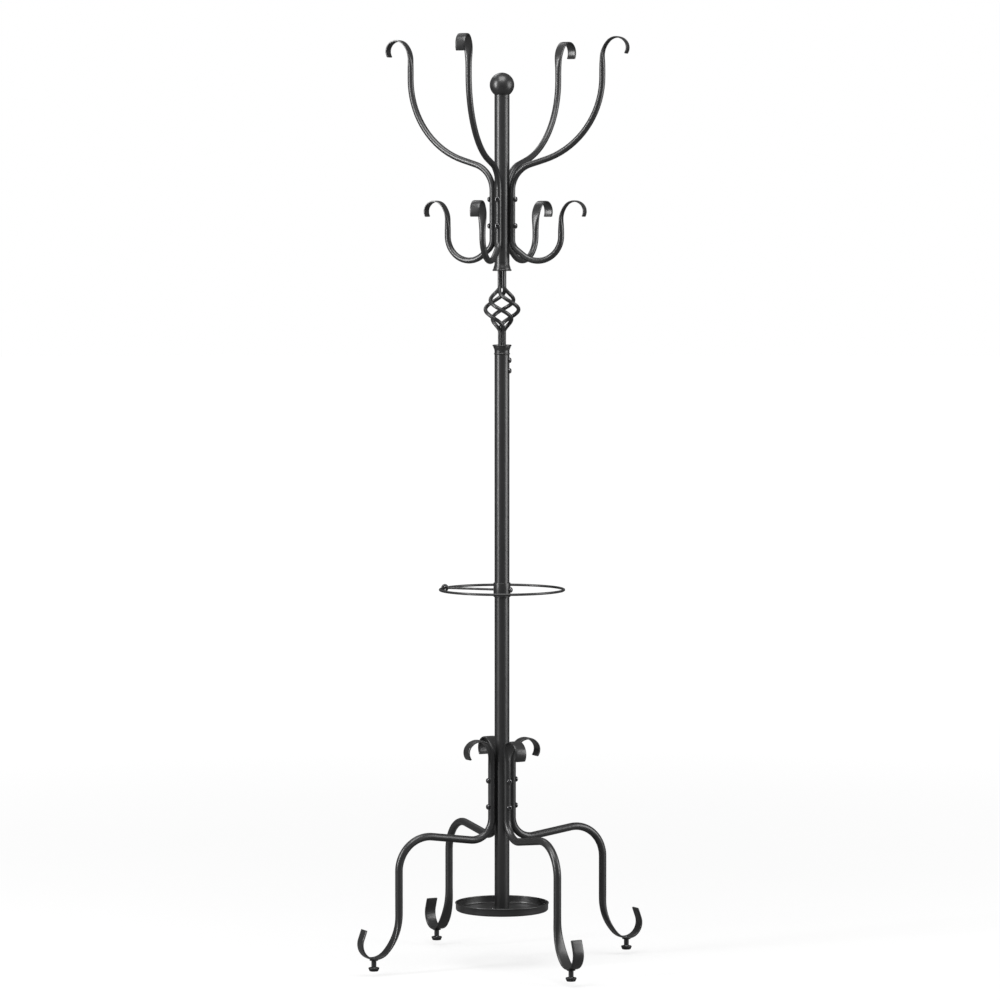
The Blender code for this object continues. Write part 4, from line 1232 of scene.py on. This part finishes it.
floor_paint = make_finish(
    "pale_floor",
    {
        "dark": (0.17, 0.17, 0.17),
        "light": (0.19, 0.19, 0.19),
        "worn_edge_and_glint": (0.18, 0.18, 0.18),
        "rough": (0.55, 0.65),
        "metallic": 0.0,
        "coat": 0.0,
        "coat_roughness": 0.3,
        "specular": 0.2,
        "relief": 0.02,
        "relief_depth": 0.0002,
        "Texel": 60.0,
        "Drift": 0.6,
        "Dust": 0.0,
        "Wear and Glint": 0.0,
    },
)


# The rack -----------------------------------------------------------------------------


def coat(piece, node):
    """Hands over a powder-coated piece of the rack."""
    hand_over(piece, node, "rack", powder_coat)


def blacken(piece, node):
    """Hands over a screw or nut."""
    hand_over(piece, node, "rack", black_oxide)


def build_post():
    coat(ball(), "ball_finial")
    coat(post("upper_post"), "upper_post")
    coat(post("lower_post"), "lower_post")
    coat(upper_collar(), "upper_collar")
    coat(lower_collar(), "lower_collar")
    low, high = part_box("basket_rod_1")
    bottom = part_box("lower_collar")[1][2] + LOWER_BUNDLE_LENGTH
    for i in range(4):
        coat(basket_rod(i, bottom, high[2], low[2]), f"basket_rod_{i + 1}")


def build_bars():
    hook = hook_bar(centre("hook_screw_lower_1").z - HOOK_RUN_BELOW)
    sleeve_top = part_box("foot_sleeve_1")[1][2]
    leg_bottom = centre("leg_screw_lower_1").z - LEG_RUN_BELOW
    leg = leg_bar(leg_bottom, sleeve_top + GAP + LEG_TUBE_WALL)
    for i in range(1, 5):
        turn = turn_to(angle_of(f"hook_screw_lower_{i}"))
        coat(copy_of(hook, "hook_bar", turn), f"hook_bar_{i}")
        turn = turn_to(angle_of(f"leg_screw_lower_{i}"))
        coat(copy_of(leg, "leg", turn), f"leg_{i}")
    discard(hook)
    discard(leg)


def build_fasteners():
    screw = button_screw()
    post_radius = centre_radius("lower_post")
    hook_post_radius = centre_radius("upper_post")
    seats = {
        "hook_screw": hook_post_radius + 2.0 * GAP + 2.0 * HOOK_TUBE_RADIUS,
        "leg_screw": post_radius + 2.0 * GAP + 2.0 * LEG_TUBE_RADIUS,
    }
    sets = []
    for kind, seat in seats.items():
        for row in ("lower", "upper"):
            sets += [(f"{kind}_{row}_{i}", seat) for i in range(1, 5)]
    sets += [(f"joint_screw_{row}", post_radius + GAP) for row in ("lower", "upper")]
    for k, (node, seat) in enumerate(sets):
        spin = turn_to(math.radians(SCREW_SPIN * k))
        place = outward(angle_of(node), seat, centre(node).z) @ spin
        blacken(copy_of(screw, node, place), node)
    discard(screw)

    small = pan_screw()
    for i in range(1, 4):
        node = f"tray_screw_{i}"
        middle = centre(node)
        place = Matrix.Translation((middle.x, middle.y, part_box("lower_post")[0][2]))
        place = place @ turn_to(math.radians(TRAY_SCREW_SPIN * i))
        blacken(copy_of(small, node, place), node)
    discard(small)

    nut = cap_nut(CAP_NUT_HEIGHT)
    seat = centre_radius("ring_collar") + GAP
    height = centre("ring_cap_nut").z
    nut.data.transform(outward(angle_of("ring_cap_nut"), seat, height))
    blacken(nut, "ring_cap_nut")


def build_feet():
    for i in range(1, 5):
        coat(foot_sleeve(f"foot_sleeve_{i}"), f"foot_sleeve_{i}")
        stud = foot_stud(f"foot_stud_{i}")
        hand_over(stud, f"foot_stud_{i}", f"stud_{i}", zinc_plate)
        pad = foot_pad(f"foot_pad_{i}")
        hand_over(pad, f"foot_pad_{i}", f"pad_{i}", moulded_nylon)


def build_holders():
    coat(umbrella_ring(), "umbrella_ring")
    spoke = ring_spoke()
    spoke.data.transform(turn_to(angle_of("ring_cap_nut") + math.pi))
    coat(spoke, "ring_spoke")
    coat(ring_collar(), "ring_collar")
    coat(foot_flange(), "post_foot_plug")
    coat(drip_tray(), "drip_tray")


# Studio -------------------------------------------------------------------------------


def look_at(thing, point):
    aim = Vector(point) - thing.location
    thing.rotation_euler = aim.to_track_quat("-Z", "Y").to_euler()


def view_side(degrees, distance, height):
    """A place round the rack, in degrees clockwise from the camera, seen from above."""
    turn = math.radians(CAMERA_AZIMUTH - 90.0 - degrees)
    return Vector((distance * math.cos(turn), distance * math.sin(turn), height))


def softbox(name, degrees, distance, height, size, power, aim):
    light = bpy.data.lights.new(name, "AREA")
    light.shape = "RECTANGLE"
    light.size, light.size_y = size
    light.energy = power
    lamp = bpy.data.objects.new(name, light)
    bpy.context.scene.collection.objects.link(lamp)
    lamp.location = view_side(degrees, distance, height)
    look_at(lamp, (0.0, 0.0, aim))


def bright_behind(tree, others):
    """A strength that is high where the camera looks at it, and low for other rays."""
    path = add_node(tree, "ShaderNodeLightPath")
    strengths = {"To Min": others, "To Max": BACKDROP_LIGHT}
    return add_ranged(tree, path.outputs["Is Camera Ray"], strengths)


def light_the_floor(material):
    """The floor brightens away from the feet, so that it runs into the backdrop."""
    tree = material.node_tree
    place = add_node(tree, "ShaderNodeTexCoord")
    reach = add_node(tree, "ShaderNodeVectorMath", operation="LENGTH")
    tree.links.new(place.outputs["Object"], reach.inputs[0])
    glow = add_node(tree, "ShaderNodeMapRange", interpolation_type="SMOOTHSTEP")
    for end, (distance, strength) in (("Min", FLOOR_NEAR), ("Max", FLOOR_FAR)):
        glow.inputs[f"From {end}"].default_value = distance
        glow.inputs[f"To {end}"].default_value = strength
    tree.links.new(reach.outputs["Value"], glow.inputs["Value"])
    behind = bright_behind(tree, 0.0)
    seen = add_maths(tree, "MULTIPLY", glow.outputs["Result"], behind)
    shader = tree.nodes["Principled BSDF"]
    shader.inputs["Emission Color"].default_value = WHITE
    tree.links.new(seen, shader.inputs["Emission Strength"])


def build_studio():
    scene = bpy.context.scene
    deselect()
    bpy.ops.mesh.primitive_circle_add(
        vertices=64,
        radius=FLOOR_RADIUS,
        fill_type="NGON",
        location=(0.0, 0.0, -FEET_TRAVEL),
    )
    floor = bpy.context.object
    floor.name = "studio_floor"
    floor.data.materials.append(floor_paint)
    light_the_floor(floor_paint)

    scene.view_settings.view_transform = "Standard"
    world = scene.world or bpy.data.worlds.new("studio")
    scene.world = world
    world.use_nodes = True
    tree = world.node_tree
    sky = tree.nodes["Background"]
    sky.inputs["Color"].default_value = WHITE
    tree.links.new(bright_behind(tree, WORLD_LIGHT), sky.inputs["Strength"])

    for name, light in SOFTBOXES.items():
        softbox(name, *light)

    lens = bpy.data.cameras.new("camera")
    lens.lens = CAMERA_LENS
    lens.sensor_width = CAMERA_SENSOR
    lens.shift_x = CAMERA_SHIFT
    camera = bpy.data.objects.new("camera", lens)
    scene.collection.objects.link(camera)
    camera.location = view_side(0.0, CAMERA_DISTANCE, CAMERA_HEIGHT)
    drop = CAMERA_DISTANCE * math.tan(math.radians(CAMERA_PITCH))
    look_at(camera, (0.0, 0.0, CAMERA_HEIGHT - drop))
    scene.camera = camera


build_post()
build_bars()
build_fasteners()
build_feet()
build_holders()
build_studio()

bpy.context.view_layer.update()
